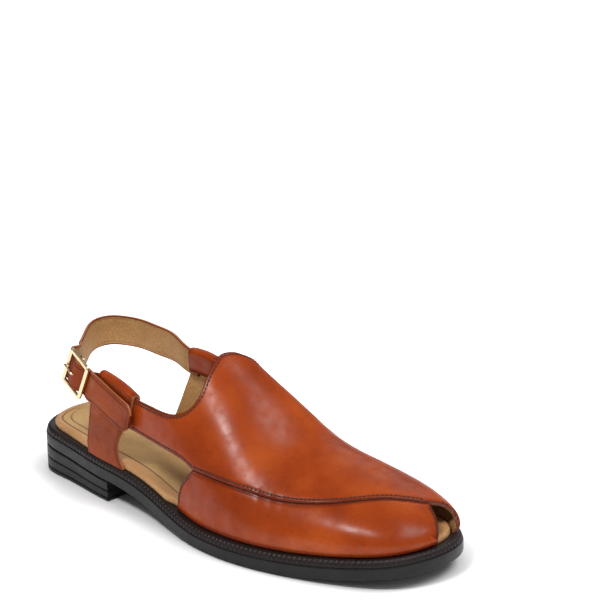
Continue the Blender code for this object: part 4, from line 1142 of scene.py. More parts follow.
@dataclass
class Cut:
    """One leather part cut to a closed outline on the flat pattern."""

    outline: np.ndarray
    pattern: Pattern
    probe: float = 0.8
    least_room: float = 0.93
    stretch: np.ndarray = field(init=False)
    inward: np.ndarray = field(init=False)

    def __post_init__(self) -> None:
        """Finds the inward direction at each outline point and how far a flat step goes there."""
        tangent = np.roll(self.outline, -1, axis=0) - np.roll(self.outline, 1, axis=0)
        side = np.stack([-tangent[:, 1], tangent[:, 0]], -1)
        side /= np.maximum(np.linalg.norm(side, axis=1, keepdims=True), 1e-9)
        x, y = self.outline.T
        turned = np.sum(x * np.roll(y, -1) - np.roll(x, -1) * y)
        self.inward = side * math.copysign(1.0, turned)
        here = LAST.point(*self.pattern.read(self.outline))
        there = LAST.point(*self.pattern.read(self.outline + self.inward * self.probe))
        self.stretch = np.clip(np.linalg.norm(there - here, axis=1) / self.probe, 0.7, 2.5)

    def ring(self, distance: float) -> np.ndarray:
        """Outline moved inwards by a distance on the real surface, where it stays clear of itself."""
        points = self.outline + self.inward * (distance / self.stretch)[:, None]
        return points[self.room(points) > self.least_room * distance]

    def room(self, points: np.ndarray) -> np.ndarray:
        """Distance of flat points from the outline, on the real surface."""
        gaps, nearest = to_edge(points, self.outline)
        return gaps * self.stretch[nearest]

    def line(self, start: int, end: int, distance: float, lift: float) -> tuple[np.ndarray, np.ndarray]:
        """Line along part of the outline, moved inwards, with the vectors out of the leather."""
        picked = np.arange(start, end)
        flat = self.outline[picked] + self.inward[picked] * (distance / self.stretch[picked])[:, None]
        place = self.pattern.read(flat)
        return LAST.lasted(*place, lift), LAST.facing(*place)


@dataclass
class Upper:
    """Vamp with tongue and wings, side panel and the two folded posts.

    Edges on the flat pattern are (station, girth) rows. Posts are rear y, rear z, front y and front z
    from the foot to the top; their steps are rows up the face, round the fold and down the flap. Beds,
    the flap's thin end and the inner rounding are a depth and a width; the soft rise behind the thread
    is a height, its distance from the edge and a width.
    """

    bench: Bench
    finishes: Finishes
    pattern: Pattern = field(default_factory=Pattern)
    wall: float = 2.4
    seam_step: float = 1.1
    post_wall: float = 2.2
    tunnel_gap: float = 2.8
    flap_drop: float = 12.0
    stitch_inset: float = 1.9
    crease_inset: float = 1.6
    edge_rings: tuple = (0.3, 0.8, 1.6, 2.2, 2.8, 3.8)
    edge_band: float = 5.0
    edge_reach: float = 0.9
    vamp_round: float = 0.5
    panel_round: float = 0.35
    post_round: float = 0.45
    thread_bed: tuple = (0.16, 0.55)
    soft_rise: tuple = (0.1, 4.2, 1.2)
    inner_round: tuple = (0.3, 0.6)
    crease_bed: tuple = (0.15, 0.45)
    flap_thin: tuple = (0.5, 1.2)
    fold_rise: tuple = (2.6, 1.2)
    post_steps: tuple = (46, 13, 9)
    collar: tuple = (
        (84.0, 0.80), (104.5, 0.773), (115.3, 0.734), (126.2, 0.68), (135.7, 0.612), (142.5, 0.536),
        (145.2, 0.481), (146.4, 0.42), (146.1, 0.354), (145.3, 0.308), (144.5, 0.24), (143.0, 0.155),
        (142.8, 0.109), (143.4, 0.066), (144.5, 0.023), (146.6, -0.041), (148.1, -0.122),
        (148.0, -0.251), (148.4, -0.36), (148.6, -0.42), (147.6, -0.48), (145.0, -0.536),
        (138.0, -0.612), (128.0, -0.679), (117.0, -0.733), (104.4, -0.773), (97.0, -0.784))
    outer_foot: tuple = ((80.0, 0.912), (94.8, 0.90), (108.6, 0.879), (131.5, 0.806), (147.0, 0.752),
                         (155.4, 0.743))
    panel_rear: tuple = ((155.4, 0.743), (150.4, 0.805), (145.5, 0.867), (141.8, 0.934), (139.2, 1.0))
    seam: tuple = (
        (155.4, 0.743), (167.4, 0.708), (177.2, 0.678), (191.6, 0.624), (200.2, 0.594), (215.0, 0.556),
        (228.5, 0.508), (240.2, 0.435), (250.3, 0.33), (258.1, 0.217), (265.3, 0.10), (272.0, 0.004),
        (278.6, -0.107), (282.0, -0.202))
    panel_front: tuple = ((282.0, -0.202), (283.9, -0.172), (289.4, -0.095), (293.3, 0.002),
                          (295.8, 0.148), (297.1, 0.391), (297.5, 0.68), (298.0, 1.0))
    vamp_rim: tuple = ((282.0, -0.202), (284.2, -0.324), (285.3, -0.38), (288.6, -0.449),
                       (292.2, -0.49), (295.3, -0.489), (297.0, -0.60), (298.2, -0.78), (298.6, -1.0))
    inner_foot: tuple = (
        (96.0, -0.898), (110.0, -0.872), (125.0, -0.828), (136.0, -0.797), (142.0, -0.81),
        (146.0, -0.845), (147.0, -0.89), (145.5, -0.94), (142.5, -1.0))
    outer_post: tuple = (
        (55.0, 0.0, 89.5, 0.0), (55.5, 31.0, 86.2, 30.0), (57.0, 38.0, 85.5, 37.0),
        (58.7, 45.0, 88.5, 43.5), (60.2, 52.0, 94.0, 51.6), (61.8, 59.0, 98.0, 58.2),
        (65.4, 67.0, 100.0, 64.0), (71.4, 77.6, 101.5, 69.8))
    inner_post: tuple = (
        (62.0, 0.0, 92.0, 0.0), (65.5, 31.0, 93.5, 31.0), (69.6, 39.5, 96.0, 39.5),
        (72.6, 46.0, 98.5, 46.0), (75.8, 53.0, 101.5, 53.0), (79.2, 60.0, 103.5, 60.0),
        (82.4, 68.0, 105.0, 68.0), (84.5, 77.6, 107.5, 76.2))

    def build(self) -> None:
        """Makes the leathers, the posts and their stitches."""
        pattern = self.pattern
        collar, seam = pattern.curve(self.collar), pattern.curve(self.seam)
        self.vamp, self.vamp_parts = self.cut([
            collar, pattern.straight(self.collar[-1], self.inner_foot[0]), pattern.curve(self.inner_foot),
            pattern.feather(self.inner_foot[-1][0], self.vamp_rim[-1][0], Side.INNER),
            pattern.curve(self.vamp_rim)[::-1], seam[::-1], pattern.curve(self.outer_foot)[::-1],
            pattern.straight(self.outer_foot[0], self.collar[0])])
        self.panel, self.panel_parts = self.cut([
            seam, pattern.curve(self.panel_front),
            pattern.feather(self.panel_rear[-1][0], self.panel_front[-1][0], Side.OUTER)[::-1],
            pattern.curve(self.panel_rear)[::-1]])
        kept(self.leathers(), Slot.UPPER, "upper")
        for name, rows, side in (("outer_post", self.outer_post, Side.OUTER),
                                 ("inner_post", self.inner_post, Side.INNER)):
            kept(self.post(name, rows, side), Slot.UPPER)
        kept(self.stitching(), Slot.UPPER)

    def cut(self, edges: list) -> tuple[Cut, np.ndarray]:
        """Leather cut along edges that follow each other, and where each starts in its outline."""
        outline = np.concatenate([edge[:-1] for edge in edges])
        starts = np.concatenate([[0], np.cumsum([len(edge) - 1 for edge in edges])])
        return Cut(outline, self.pattern), starts

    def net(self, cuts: tuple) -> tuple[np.ndarray, list, list]:
        """Fills the cuts with triangles on the flat pattern, finer along their edges.

        Args:
            cuts: the vamp's cut and the panel's.

        Returns:
            The flat points, each triangle's point numbers, and whether it lies in the panel.
        """
        places, index = [], {}

        def number(point: np.ndarray) -> int:
            key = (round(float(point[0]), 4), round(float(point[1]), 4))
            if key not in index:
                index[key] = len(places)
                places.append(Vector(key))
            return index[key]

        outlines = [[number(point) for point in cut.outline] for cut in cuts]
        for cut in cuts:
            for distance in self.edge_rings:
                for point in cut.ring(distance):
                    number(point)
            inner = self.pattern.filling(cut.outline)
            for point in inner[cut.room(inner) > self.edge_band]:
                number(point)
        flat, _, triangles, _, _, owners = delaunay_2d_cdt(places, [], outlines, 1, 1e-5)
        flat = np.array([(point.x, point.y) for point in flat])
        return flat, triangles, [0 not in owner for owner in owners]

    def relief(self, room: np.ndarray, round_off: float) -> np.ndarray:
        """Lift of a leather near its edge: rounded off, drawn in at the thread, soft behind it."""
        depth, width = self.thread_bed
        height, place, spread = self.soft_rise
        sunk = depth * bump(room - self.stitch_inset, width)
        return height * bump(room - place, spread) - sunk - round_off * rounding(room, self.edge_reach)

    def leathers(self) -> bpy.types.Object:
        """Vamp and side panel as one wall: the vamp's edge stands over the panel along the seam."""
        cuts = (self.vamp, self.panel)
        flat, triangles, in_panel = self.net(cuts)
        station, girth = self.pattern.read(flat)
        vamp_room, panel_room = (cut.room(flat) for cut in cuts)
        room = np.minimum(vamp_room, panel_room)
        creases = self.creases(station, girth)
        inner_lift, inner_width = self.inner_round
        lifts = {"vamp": self.relief(vamp_room, self.vamp_round) + creases,
                 "panel": self.relief(panel_room, self.panel_round) - self.seam_step + creases,
                 "inner": -self.wall + inner_lift * bump(room, inner_width)}
        layers = {layer: LAST.lasted(station, girth, lift) for layer, lift in lifts.items()}
        burn_and_shade_by_layer = {"vamp": burnt(vamp_room, (0.9, 0.9), self.stitch_inset, (0.35, 0.7)),
                 # The side panel's darker, wider edge is burnishing, but along the seam, where the vamp's
                 # edge stands over it, it is painted shadow.
                 "panel": burnt(panel_room, (1.0, 1.3), self.stitch_inset, (0.35, 0.7)),
                 "inner": 0.7 * bump(room, 0.8)}
        points, faces, kinds, burn_and_shade, numbers = [], [], [], [], {}

        def vertex(layer: str, i: int) -> int:
            if (layer, i) not in numbers:
                numbers[layer, i] = len(points)
                points.append(layers[layer][i])
                burn_and_shade.append(burn_and_shade_by_layer[layer][i])
            return numbers[layer, i]

        sides = {}
        for triangle, panel_face in zip(triangles, in_panel):
            layer = "panel" if panel_face else "vamp"
            faces.append([vertex(layer, i) for i in triangle])
            faces.append([vertex("inner", i) for i in reversed(triangle)])
            kinds += [SKIN, LINED]
            for a, b in zip(triangle, list(triangle[1:]) + [triangle[0]]):
                sides.setdefault((min(a, b), max(a, b)), []).append(layer)
        seam_ends = {}
        for (a, b), owners in sides.items():
            if len(owners) == 1:
                over, under = owners[0], "inner"
            elif owners[0] != owners[1]:
                over, under = "vamp", "panel"
                for end in (a, b):
                    seam_ends[end] = seam_ends.get(end, 0) + 1
            else:
                continue
            faces.append([vertex(over, a), vertex(over, b), vertex(under, b), vertex(under, a)])
        for end, uses in seam_ends.items():
            if uses == 1:
                faces.append([vertex("vamp", end), vertex("panel", end), vertex("inner", end)])
        kinds += [RAW] * (len(faces) - len(kinds))
        finishes = [self.finishes.upper, self.finishes.lining, self.finishes.edge]
        return self.bench.joined("vamp_and_side_panel", np.array(points), faces, finishes, kinds,
                                 {"burn_and_shade": burn_and_shade}, angle=50.0)

    def creases(self, station: np.ndarray, girth: np.ndarray) -> np.ndarray:
        """Low folds where the foot bends."""
        folds = np.zeros(np.broadcast(station, girth).shape)
        for place, slant, middle, reach, depth, width in (
                (205.0, 9.0, 0.66, 0.22, 0.22, 1.8), (212.0, 7.0, 0.62, 0.20, 0.16, 1.6),
                (219.0, 6.0, 0.60, 0.18, 0.13, 1.7), (190.0, 6.0, -0.42, 0.35, 0.16, 2.2),
                (199.0, 4.0, -0.38, 0.35, 0.12, 2.0), (181.0, -4.0, 0.15, 0.30, 0.10, 2.4)):
            across = station - place - slant * (np.abs(girth) - abs(middle)) / 0.25
            folds -= depth * bump(across, width) * bump(girth - middle, reach)
        return folds

    def post(self, name: str, rows: tuple, side: Side) -> bpy.types.Object:
        """Folded post: rises from the insole, turns over at the tunnel and hangs down inside.

        Args:
            name: the piece's name.
            rows: rear y, rear z, front y and front z from the foot to the top.
            side: side of the foot.

        Returns:
            The piece.
        """
        ends = np.array([[LAST.solve(y, z, side) if z > 0.0 else (y, float(side.value))
                          for y, z in (row[:2], row[2:])] for row in rows])
        level = np.arange(len(rows))
        curves = [[Spline(level, ends[:, e, k]) for k in range(2)] for e in range(2)]
        border = np.array([0.0, 0.01, 0.03, 0.045, 0.06, 0.075, 0.09, 0.12])
        across = np.concatenate([border, np.linspace(0.17, 0.83, 10), 1.0 - border[::-1]])
        edge = np.minimum(across, 1.0 - across) * (rows[3][2] - rows[3][0])
        depth, width = self.crease_bed
        soft = self.post_round * rounding(edge, self.edge_reach)
        soft += depth * bump(edge - self.crease_inset, width)
        middle = -self.wall / 2.0
        radius_in = self.tunnel_gap / 2.0
        radius_out = radius_in + self.post_wall

        def row(where: float, lift: np.ndarray, over: float = 0.0) -> np.ndarray:
            first, last = (np.array([float(curve(where)) for curve in pair]) for pair in curves)
            mixed = first * (1.0 - across)[:, None] + last * across[:, None]
            points = LAST.lasted(mixed[:, 0], np.clip(mixed[:, 1], -1.0, 1.0), lift)
            points[:, 2] += over
            return points

        top = float(level[-1])
        up_steps, fold_steps, flap_steps = self.post_steps
        outer_rise, inner_rise = self.fold_rise
        skin, back = [], []
        for where in np.linspace(0.0, top, up_steps):
            skin.append(row(where, middle + radius_out - soft))
            back.append(row(where, middle + radius_in + 0.4 * soft))
        for turn in np.linspace(0.0, math.pi, fold_steps)[1:-1]:
            out, rise = math.cos(turn), math.sin(turn)
            skin.append(row(top, middle + (radius_out - soft) * out, outer_rise * rise))
            back.append(row(top, middle + radius_in * out, inner_rise * rise))
        fold = row(top, np.zeros(len(across)))
        bounds = [LAST.solve(y, z, side) for _, y, z in fold]
        for drop in np.linspace(0.0, self.flap_drop, flap_steps):
            hung = [LAST.solve(y, z - drop, side) if drop else found
                    for (_, y, z), found in zip(fold, bounds)]
            station, girth = np.array(hung).T
            thin = self.flap_thin[0] * rounding(self.flap_drop - drop, self.flap_thin[1])
            skin.append(LAST.lasted(station, girth, middle - radius_out + soft + thin))
            back.append(LAST.lasted(station, girth, middle - radius_in))
        skin, back = np.array(skin), np.array(back)
        sheet = np.concatenate([skin, back[:, ::-1], skin[:, :1]], axis=1)
        count = len(across)
        line = burnt(edge, (0.6, 0.5), self.crease_inset, (0.6, 0.5))
        burn_and_shade = np.concatenate([line, np.zeros(count), [0.15]])
        burn_and_shade = np.broadcast_to(burn_and_shade, sheet.shape[:2]).copy()
        burn_and_shade[-2:, :count] = 0.6
        kinds = np.full((len(sheet) - 1, 2 * count), SKIN)
        kinds[:, count - 1] = kinds[:, -1] = RAW
        kinds[:, count:-1] = LINED
        # The fold and the hanging flap take the lighter vamp leather: painted light from above on the
        # post's top.
        kinds[up_steps:, :count - 1] = LIT_FOLD
        finishes = [self.finishes.strap, self.finishes.lining, self.finishes.edge, self.finishes.upper]
        return self.bench.sheet(name, sheet, finishes, kinds, {"burn_and_shade": burn_and_shade}, ends=True, angle=50.0)

    def stitching(self) -> bpy.types.Object:
        """Thread along the collar, the seam, the window edges and the toe opening."""
        vamp, panel = self.vamp_parts, self.panel_parts
        # Each run leaves out a few outline points at the corners that it starts from and ends at.
        runs = [self.vamp.line(start, end, self.stitch_inset, 0.0) for start, end in (
            (vamp[0] + 14, vamp[1] - 6), (vamp[2] + 8, vamp[3] - 3), (vamp[4] + 3, vamp[5] - 3),
            (vamp[5] + 3, vamp[6]), (vamp[6], vamp[7] - 14))]
        runs += [self.panel.line(start, end, self.stitch_inset, -self.seam_step) for start, end in (
            (panel[1] + 3, panel[2] - 3), (panel[3] + 3, panel[4] - 3))]
        return self.bench.stitches("upper_stitches", runs, self.finishes.thread)


# ---------------------------------------------------------------- heel strap and buckle
@dataclass
class HeelStrap:
    """Heel strap with its buckle, prong and the short strap that carries the buckle.

    The reaches are the distance from the buckle within which a strap starts to stand as the buckle
    does, and the run over which it turns. The waist is the share of its width that the strap has at
    the inner tunnel, and the length over which it widens. It spreads a little where it goes under the
    buckle's rear bar. Places near the buckle are along it, up it and out of it, from its centre.
    """

    bench: Bench
    finishes: Finishes
    upper: Upper
    width: float = 18.8
    thick: float = 2.0
    tip: float = 5.5
    tip_round: tuple = (0.5, 2.2)
    waist: tuple = (0.79, 42.0)
    spacing: float = 0.75
    fine_spacing: float = 0.5
    reach: tuple = (26.0, 12.0)
    chape_reach: tuple = (22.0, 10.0)
    clear: float = 0.3
    lying: float = 0.6
    crease_inset: float = 1.9
    chape_width: float = 13.5
    chape_thick: float = 1.2
    prong_slot: tuple = (7.2, 2.4, 7.4)
    tunnel_up: tuple = (0.0, 0.23, 0.97)
    buckle_centre: tuple = (36.5, 51.3, 74.0)
    buckle_along: tuple = (0.149, 0.877, -0.457)
    buckle_up: tuple = (0.06, 0.453, 0.889)
    buckle_length: float = 17.6
    buckle_height: float = 23.4
    frame_wire: float = 1.3
    bar_wire: float = 1.0
    bar_drop: float = 2.6
    prong_wire: float = 0.7
    prong_blunt: float = 0.9
    prong_hole: float = -0.3
    spare_holes: tuple = (-17.0, -26.0)
    hole_radius: float = 1.3
    rim_columns: int = 3
    spread: float = 1.3
    spread_reach: float = 4.0
    spread_place: tuple = (-9.0, 0.0, -3.0)
    edge_reach: float = 0.8
    edge_round: float = 0.34
    crease_depth: float = 0.22
    route: tuple = (
        (-33.6, 63.0, 74.3), (-35.4, 47.6, 74.9), (-35.6, 32.5, 75.8), (-32.1, 21.2, 76.4),
        (-27.4, 14.6, 76.6), (-20.8, 12.0, 76.5), (-12.4, 13.8, 76.4), (-0.7, 21.4, 76.3),
        (13.3, 32.6, 76.5), (22.0, 37.4, 76.9))
    tail: tuple = ((70.0, 68.3), (80.0, 64.7), (90.0, 61.2), (102.0, 57.2))

    def __post_init__(self) -> None:
        """Finds the buckle's own directions."""
        self.along = unit(np.array(self.buckle_along))
        self.out = unit(np.cross(self.along, unit(np.array(self.buckle_up))))
        self.up = np.cross(self.out, self.along)
        self.centre = np.array(self.buckle_centre)
        self.middle = -self.upper.wall / 2.0

    def at(self, along: float, up: float, out: float) -> np.ndarray:
        """Point in the buckle's own directions, from its centre."""
        return self.centre + along * self.along + up * self.up + out * self.out

    def build(self) -> None:
        """Makes strap, short strap, frame and prong."""
        self.strap()
        self.chape()
        self.frame()
        self.prong()

    def strap_line(self) -> list:
        """Route of the heel strap: inner tunnel, round the heel, through the buckle, tail."""
        half, bar = self.thick / 2.0, self.buckle_length / 2.0
        lift = self.middle + self.upper.tunnel_gap / 2.0 + self.upper.post_wall + self.lying + half
        under = -(self.frame_wire + self.clear + half)
        over = -self.bar_drop + self.bar_wire + self.chape_thick + self.lying + half
        start = [LAST.beside(y, z, Side.INNER, self.middle)
                 for y, z in ((90.0, 70.2), (85.0, 70.7), (79.0, 72.2))]
        buckle = [self.at(-bar - 3.0, -0.8, under - 0.7), self.at(-bar + 0.4, 0.1, under - 0.4),
                  self.at(-3.4, 0.0, over - 1.1), self.at(-1.2, 0.0, over), self.at(1.2, 0.0, over),
                  self.at(bar - 0.6, 0.0, under - 0.15), self.at(bar + 3.0, 0.8, under + 0.4)]
        tail = [LAST.beside(y, z, Side.OUTER, lift) for y, z in self.tail]
        return start + [np.array(point) for point in self.route] + buckle + tail

    def section_frames(self, route: np.ndarray, reach: tuple,
                       upright: tuple) -> tuple[np.ndarray, np.ndarray]:
        """Upward and outward unit vectors of a strap on edge at each route point.

        Args:
            route: centre line.
            reach: where the strap turns to stand as the buckle does.
            upright: upward direction of the strap away from the buckle.

        Returns:
            The upward and the outward vectors.
        """
        start, run = reach
        near = smoothstep((start - np.linalg.norm(route - self.centre, axis=1)) / run)[:, None]
        upward = self.up * near + np.array(upright) * (1.0 - near)
        tangent = unit(np.gradient(route, axis=0))
        up = unit(upward - np.sum(upward * tangent, axis=1)[:, None] * tangent)
        return up, np.cross(tangent, up)

    def band(self, name: str, route: np.ndarray, frames: tuple, half: np.ndarray, thick: float,
             creased: np.ndarray, backing: int) -> bpy.types.Object:
        """Flat leather band with rounded edges and a pressed line along them.

        Args:
            name: the piece's name.
            route: centre line.
            frames: upward and outward vectors a point.
            half: half width a point.
            thick: the band's thickness.
            creased: distance of each section from the band's end, for the line across its tip.
            backing: number of the material of the inner face.

        Returns:
            The piece.
        """
        up, side = frames
        inset = self.crease_inset
        rim = np.array([0.0, 0.12, 0.4, 0.8, *(inset + np.array([-0.55, -0.3, 0.0, 0.3, 0.55, 1.3]))])
        inner = np.linspace(0.3, 1.0, 5)
        rows, marks = [], []
        for point, upward, outward, reach, rest in zip(route, up, side, half, creased):
            gaps = np.maximum.accumulate([*np.minimum(rim, 0.9 * reach), *(inner * reach)])
            room = np.minimum(gaps, rest)
            drop = self.edge_round * rounding(room, self.edge_reach)
            drop += self.crease_depth * bump(room - inset, 0.4)
            depth = thick / 2.0 - drop * min(1.0, thick / 2.0)
            line = burnt(room, (0.35, 0.35), inset, (0.8, 0.45))
            face = [(gap - reach, high) for gap, high in zip(gaps, depth)]
            face += [(reach - gap, high) for gap, high in zip(gaps[-2::-1], depth[-2::-1])]
            dark_lines = list(line) + list(line[-2::-1])
            profile = face + [(place, -high) for place, high in reversed(face)]
            rows.append([point + upward * place + outward * high for place, high in profile + profile[:1]])
            marks.append(dark_lines + [0.35 * mark for mark in reversed(dark_lines)] + dark_lines[:1])
        rows = np.array(rows)
        count = (rows.shape[1] - 1) // 2
        kinds = np.full((len(rows) - 1, 2 * count), SKIN)
        kinds[:, count + self.rim_columns:-1 - self.rim_columns] = backing
        kinds[:, count - 1] = kinds[:, -1] = RAW
        finishes = [self.finishes.strap, self.finishes.lining, self.finishes.edge]
        return self.bench.sheet(name, rows, finishes, kinds, {"burn_and_shade": marks}, ends=True, angle=50.0)

    def strap(self) -> bpy.types.Object:
        """Heel strap, lined inside, with a rounded tail and three prong holes."""
        route, places = smooth_route(self.strap_line(), self.spacing)
        rest = places[-1] - places
        to_tip = np.clip(rest / self.tip, 0.0, 1.0)
        share, power = self.tip_round
        half = self.width / 2.0 * (1.0 - share * (1.0 - to_tip) ** power)
        waist, widening = self.waist
        half = half * (waist + (1.0 - waist) * smoothstep(places / widening))
        away = np.linalg.norm(route - self.at(*self.spread_place), axis=1)
        swell = self.spread * bump(away, self.spread_reach)
        route, half = route - self.up * swell[:, None], half + swell
        frames = self.section_frames(route, self.reach, (0.0, 0.0, 1.0))
        piece = self.band("strap", route, frames, half, self.thick, rest, LINED)
        self.bench.cut(piece, self.at(self.prong_hole, 0.0, -2.0), self.at(self.prong_hole, 0.0, 6.0),
                       self.prong_wire + 0.2)
        gaps = np.linalg.norm(route - self.at(self.prong_hole, 0.0, 1.2), axis=1)
        for shift in self.spare_holes:
            i = int(np.argmin(gaps)) + int(round(shift / self.spacing))
            through = frames[1][i] * 2.0 * self.thick
            self.bench.cut(piece, route[i] - through, route[i] + through, self.hole_radius)
        return kept(piece, Slot.UPPER, "heel_strap")

    def chape(self) -> bpy.types.Object:
        """Short strap: leaves the outer tunnel, loops round the centre bar and comes back."""
        turn = self.bar_wire + self.clear + self.chape_thick / 2.0
        points = [LAST.beside(y, z, Side.OUTER, self.middle)
                  for y, z in ((78.0, 68.6), (74.0, 69.4), (69.5, 70.4))]
        round_bar = [(turn * math.cos(angle), -self.bar_drop + turn * math.sin(angle))
                     for angle in np.radians((-90.0, -135.0, 180.0, 135.0, 90.0))]
        points += [self.at(along, 0.0, out) for along, out in (
            (8.7, -6.05), (4.0, -5.3), *round_bar, (3.0, -1.9), (6.0, -3.9), (8.7, -4.6), (11.5, -4.75))]
        route, _ = smooth_route(points, self.fine_spacing)
        frames = self.section_frames(route, self.chape_reach, self.tunnel_up)
        half, uncreased = (np.full(len(route), value) for value in (self.chape_width / 2.0, math.inf))
        piece = self.band("chape_loop", route, frames, half, self.chape_thick, uncreased, SKIN)
        self.bench.slot_cut(piece, self.at(0.2, 0.0, -self.bar_drop), (self.along, self.up, self.out),
                            self.prong_slot)
        return kept(piece, Slot.UPPER, "buckle_chape")

    def frame(self) -> bpy.types.Object:
        """Buckle frame: a flat bar bent to a rectangle, its edges bevelled, with a centre bar."""
        half_l, half_h, corner = self.buckle_length / 2.0, self.buckle_height / 2.0, 1.5
        loop = []
        for middle_l, middle_h, start in ((half_l, half_h, 0.0), (-half_l, half_h, 0.5),
                                          (-half_l, -half_h, 1.0), (half_l, -half_h, 1.5)):
            for step in range(7):
                angle = (start + step / 12.0) * math.pi
                loop.append((middle_l - math.copysign(corner, middle_l) + corner * math.cos(angle),
                             middle_h - math.copysign(corner, middle_h) + corner * math.sin(angle),
                             math.cos(angle), math.sin(angle)))
        wide, flat, soft = self.frame_wire, 0.8 * self.frame_wire, 0.42
        section = ((wide, flat - soft), (wide - soft, flat), (soft - wide, flat), (-wide, flat - soft),
                   (-wide, soft - flat), (soft - wide, -flat), (wide - soft, -flat), (wide, soft - flat))
        rows = []
        for place_l, place_h, way_l, way_h in loop + loop[:1]:
            rows.append([self.at(place_l + way_l * across, place_h + way_h * across, high)
                         for across, high in section + section[:1]])
        piece = self.bench.sheet("frame_loop", np.array(rows), [self.finishes.gold], angle=25.0)
        bar_ends = (self.at(0.0, sign * (half_h - 0.4), -self.bar_drop) for sign in (-1.0, 1.0))
        bar = self.bench.rod(*bar_ends, self.bar_wire)
        bar.data.materials.append(self.finishes.gold)
        bpy.ops.object.transform_apply(location=True, rotation=True, scale=True)
        ears = [self.ear(sign, half_h - 0.3) for sign in (-1.0, 1.0)]
        self.bench.clear()
        for part in (bar, *ears, piece):
            part.select_set(True)
        bpy.context.view_layer.objects.active = piece
        bpy.ops.object.join()
        return kept(piece, Slot.BUCKLE, "buckle_frame")

    def ear(self, sign: float, place: float) -> bpy.types.Object:
        """Ear that carries one end of the centre bar below the frame."""
        rows = [[self.at(0.85 * math.cos(turn), sign * (place + 0.5 * math.sin(turn)), high - 0.3)
                 for turn in np.linspace(0.0, TURN, 17)]
                for high in np.linspace(0.0, -self.bar_drop, 7)]
        return self.bench.sheet("ear", np.array(rows), [self.finishes.gold], ends=True, angle=40.0)

    def prong(self) -> bpy.types.Object:
        """Prong: an eye round the centre bar and a pin that rests on the rear bar."""
        eye = self.bar_wire + self.clear + self.prong_wire
        bar = self.buckle_length / 2.0
        over = self.frame_wire + self.clear / 2.0 + self.prong_wire
        points = [self.at(eye * math.cos(turn), 0.0, -self.bar_drop + eye * math.sin(turn))
                  for turn in np.radians(np.linspace(50.0, -225.0, 30))]
        hole = self.prong_hole
        pin, _ = smooth_route([self.at(along, 0.0, out) for along, out in (
            (hole, 0.2), (hole, 1.6), (hole - 1.1, 2.5), (-0.5 * bar, 2.2), (-bar, over),
            (-bar - 1.1, over - 0.4))], self.fine_spacing)
        route = np.array(points + list(pin))
        tangent = unit(np.gradient(route, axis=0))
        side = np.broadcast_to(self.up, route.shape)
        out = unit(np.cross(side, tangent))
        to_end = np.arange(len(route))[::-1] * self.fine_spacing
        blunt = rounding(to_end, self.prong_blunt)
        radius = self.prong_wire * np.sqrt(np.clip(1.0 - blunt, 0.02, 1.0))
        rows = [[point + thick * (math.cos(turn) * up + math.sin(turn) * outward)
                 for turn in np.linspace(0.0, TURN, 15)]
                for point, up, outward, thick in zip(route, side, out, radius)]
        piece = self.bench.sheet("prong", np.array(rows), [self.finishes.gold], ends=True, angle=40.0)
        return kept(piece, Slot.BUCKLE, "buckle_prong")


# ---------------------------------------------------------------- studio
@dataclass(frozen=True)
class Lamp:
    """Soft box: a rectangular light that looks at a point."""

    name: str
    place: tuple
    aim: tuple
    size: tuple
    power: float

    def hang(self) -> None:
        """Adds the light."""
        place, aim = Vector(self.place), Vector(self.aim)
        bpy.ops.object.light_add(type="AREA", location=place,
                                 rotation=(aim - place).to_track_quat("-Z", "Y").to_euler())
        lamp = bpy.context.object
        lamp.name = self.name
        lamp.data.shape = "RECTANGLE"
        lamp.data.size, lamp.data.size_y = self.size
        lamp.data.energy = self.power


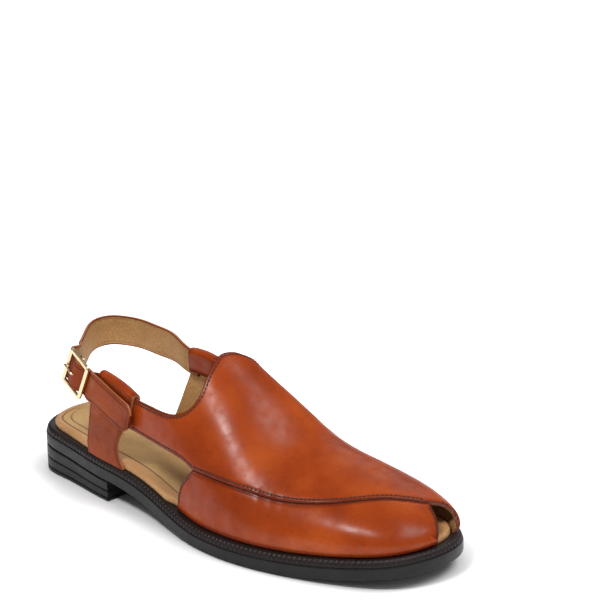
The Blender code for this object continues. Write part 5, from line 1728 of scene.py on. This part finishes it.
@dataclass(frozen=True)
class Studio:
    """White floor, soft light and the camera. Places in metres."""

    camera_place: tuple = (0.9310, 0.90205, 0.55531)
    camera_turn: tuple = (71.851, 1.1839, 132.0233)
    lens: float = 144.37
    sensor: float = 36.0
    sight: float = 50.0
    floor_size: float = 12.0
    white: float = 0.85
    glow: float = 0.85
    shade_reach: float = 0.035
    shade_depth: float = 3.5
    sky: float = 0.2
    lamps: tuple = (
        Lamp("vamp_box", (0.64, 0.02, 1.15), (0.03, 0.0, 0.07), (0.36, 0.26), 8.5),
        Lamp("toe_box", (-0.36, 0.70, 1.1), (0.0, 0.30, 0.04), (0.9, 0.6), 9.5),
        Lamp("rear_wall", (-1.62, -1.36, 1.13), (0.0, 0.0, 0.1), (2.0, 1.2), 7.0),
        Lamp("side_box", (0.5, 1.9, 1.3), (0.0, 0.0, 0.08), (1.2, 1.2), 3.0))

    def paper(self) -> bpy.types.Material:
        """White paper that glows, and less so where something stands close to it: ambient occlusion dims
        the glow into a painted contact shadow.
        """
        nodes = Nodes("floor_paper")
        nodes.value("Base Color", (self.white, self.white, self.white, 1.0))
        nodes.value("Roughness", 0.9)
        nodes.value("Specular IOR Level", 0.1)
        nodes.value("Emission Color", (1.0, 1.0, 1.0, 1.0))
        shade = nodes.tree.nodes.new("ShaderNodeAmbientOcclusion")
        shade.samples = 8
        shade.inputs["Distance"].default_value = self.shade_reach
        power, glow = (nodes.tree.nodes.new("ShaderNodeMath") for _ in range(2))
        power.operation, glow.operation = "POWER", "MULTIPLY"
        power.inputs[1].default_value, glow.inputs[1].default_value = self.shade_depth, self.glow
        nodes.wire(shade.outputs["AO"], power.inputs[0])
        nodes.wire(power.outputs[0], glow.inputs[0])
        nodes.wire(glow.outputs[0], nodes.shader.inputs["Emission Strength"])
        return nodes.material

    def build(self) -> None:
        """Adds floor, sky, lamps and camera."""
        bpy.ops.mesh.primitive_plane_add(size=self.floor_size)
        floor = bpy.context.object
        floor.name = "floor"
        floor.data.materials.append(self.paper())
        scene = bpy.context.scene
        world = bpy.data.worlds.new("studio_sky")
        world.use_nodes = True
        world.node_tree.nodes["Background"].inputs["Color"].default_value = (1.0, 1.0, 1.0, 1.0)
        world.node_tree.nodes["Background"].inputs["Strength"].default_value = self.sky
        scene.world = world
        scene.view_settings.view_transform = "Standard"
        for lamp in self.lamps:
            lamp.hang()
        bpy.ops.object.camera_add(location=self.camera_place,
                                  rotation=[math.radians(turn) for turn in self.camera_turn])
        camera = bpy.context.object
        camera.name = "view_camera"
        camera.data.lens = self.lens
        camera.data.sensor_width = self.sensor
        camera.data.clip_end = self.sight
        scene.camera = camera


def main() -> None:
    """Builds the shoe's looks and the studio."""
    logging.basicConfig(level=logging.INFO, format="%(name)s %(message)s")
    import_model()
    bench, finishes = Bench(SOLE.origin), Finishes()
    SoleUnit(bench, finishes).build()
    Footbed(bench, finishes).build()
    upper = Upper(bench, finishes)
    upper.build()
    HeelStrap(bench, finishes, upper).build()
    Studio().build()


if __name__ == "__main__":
    main()
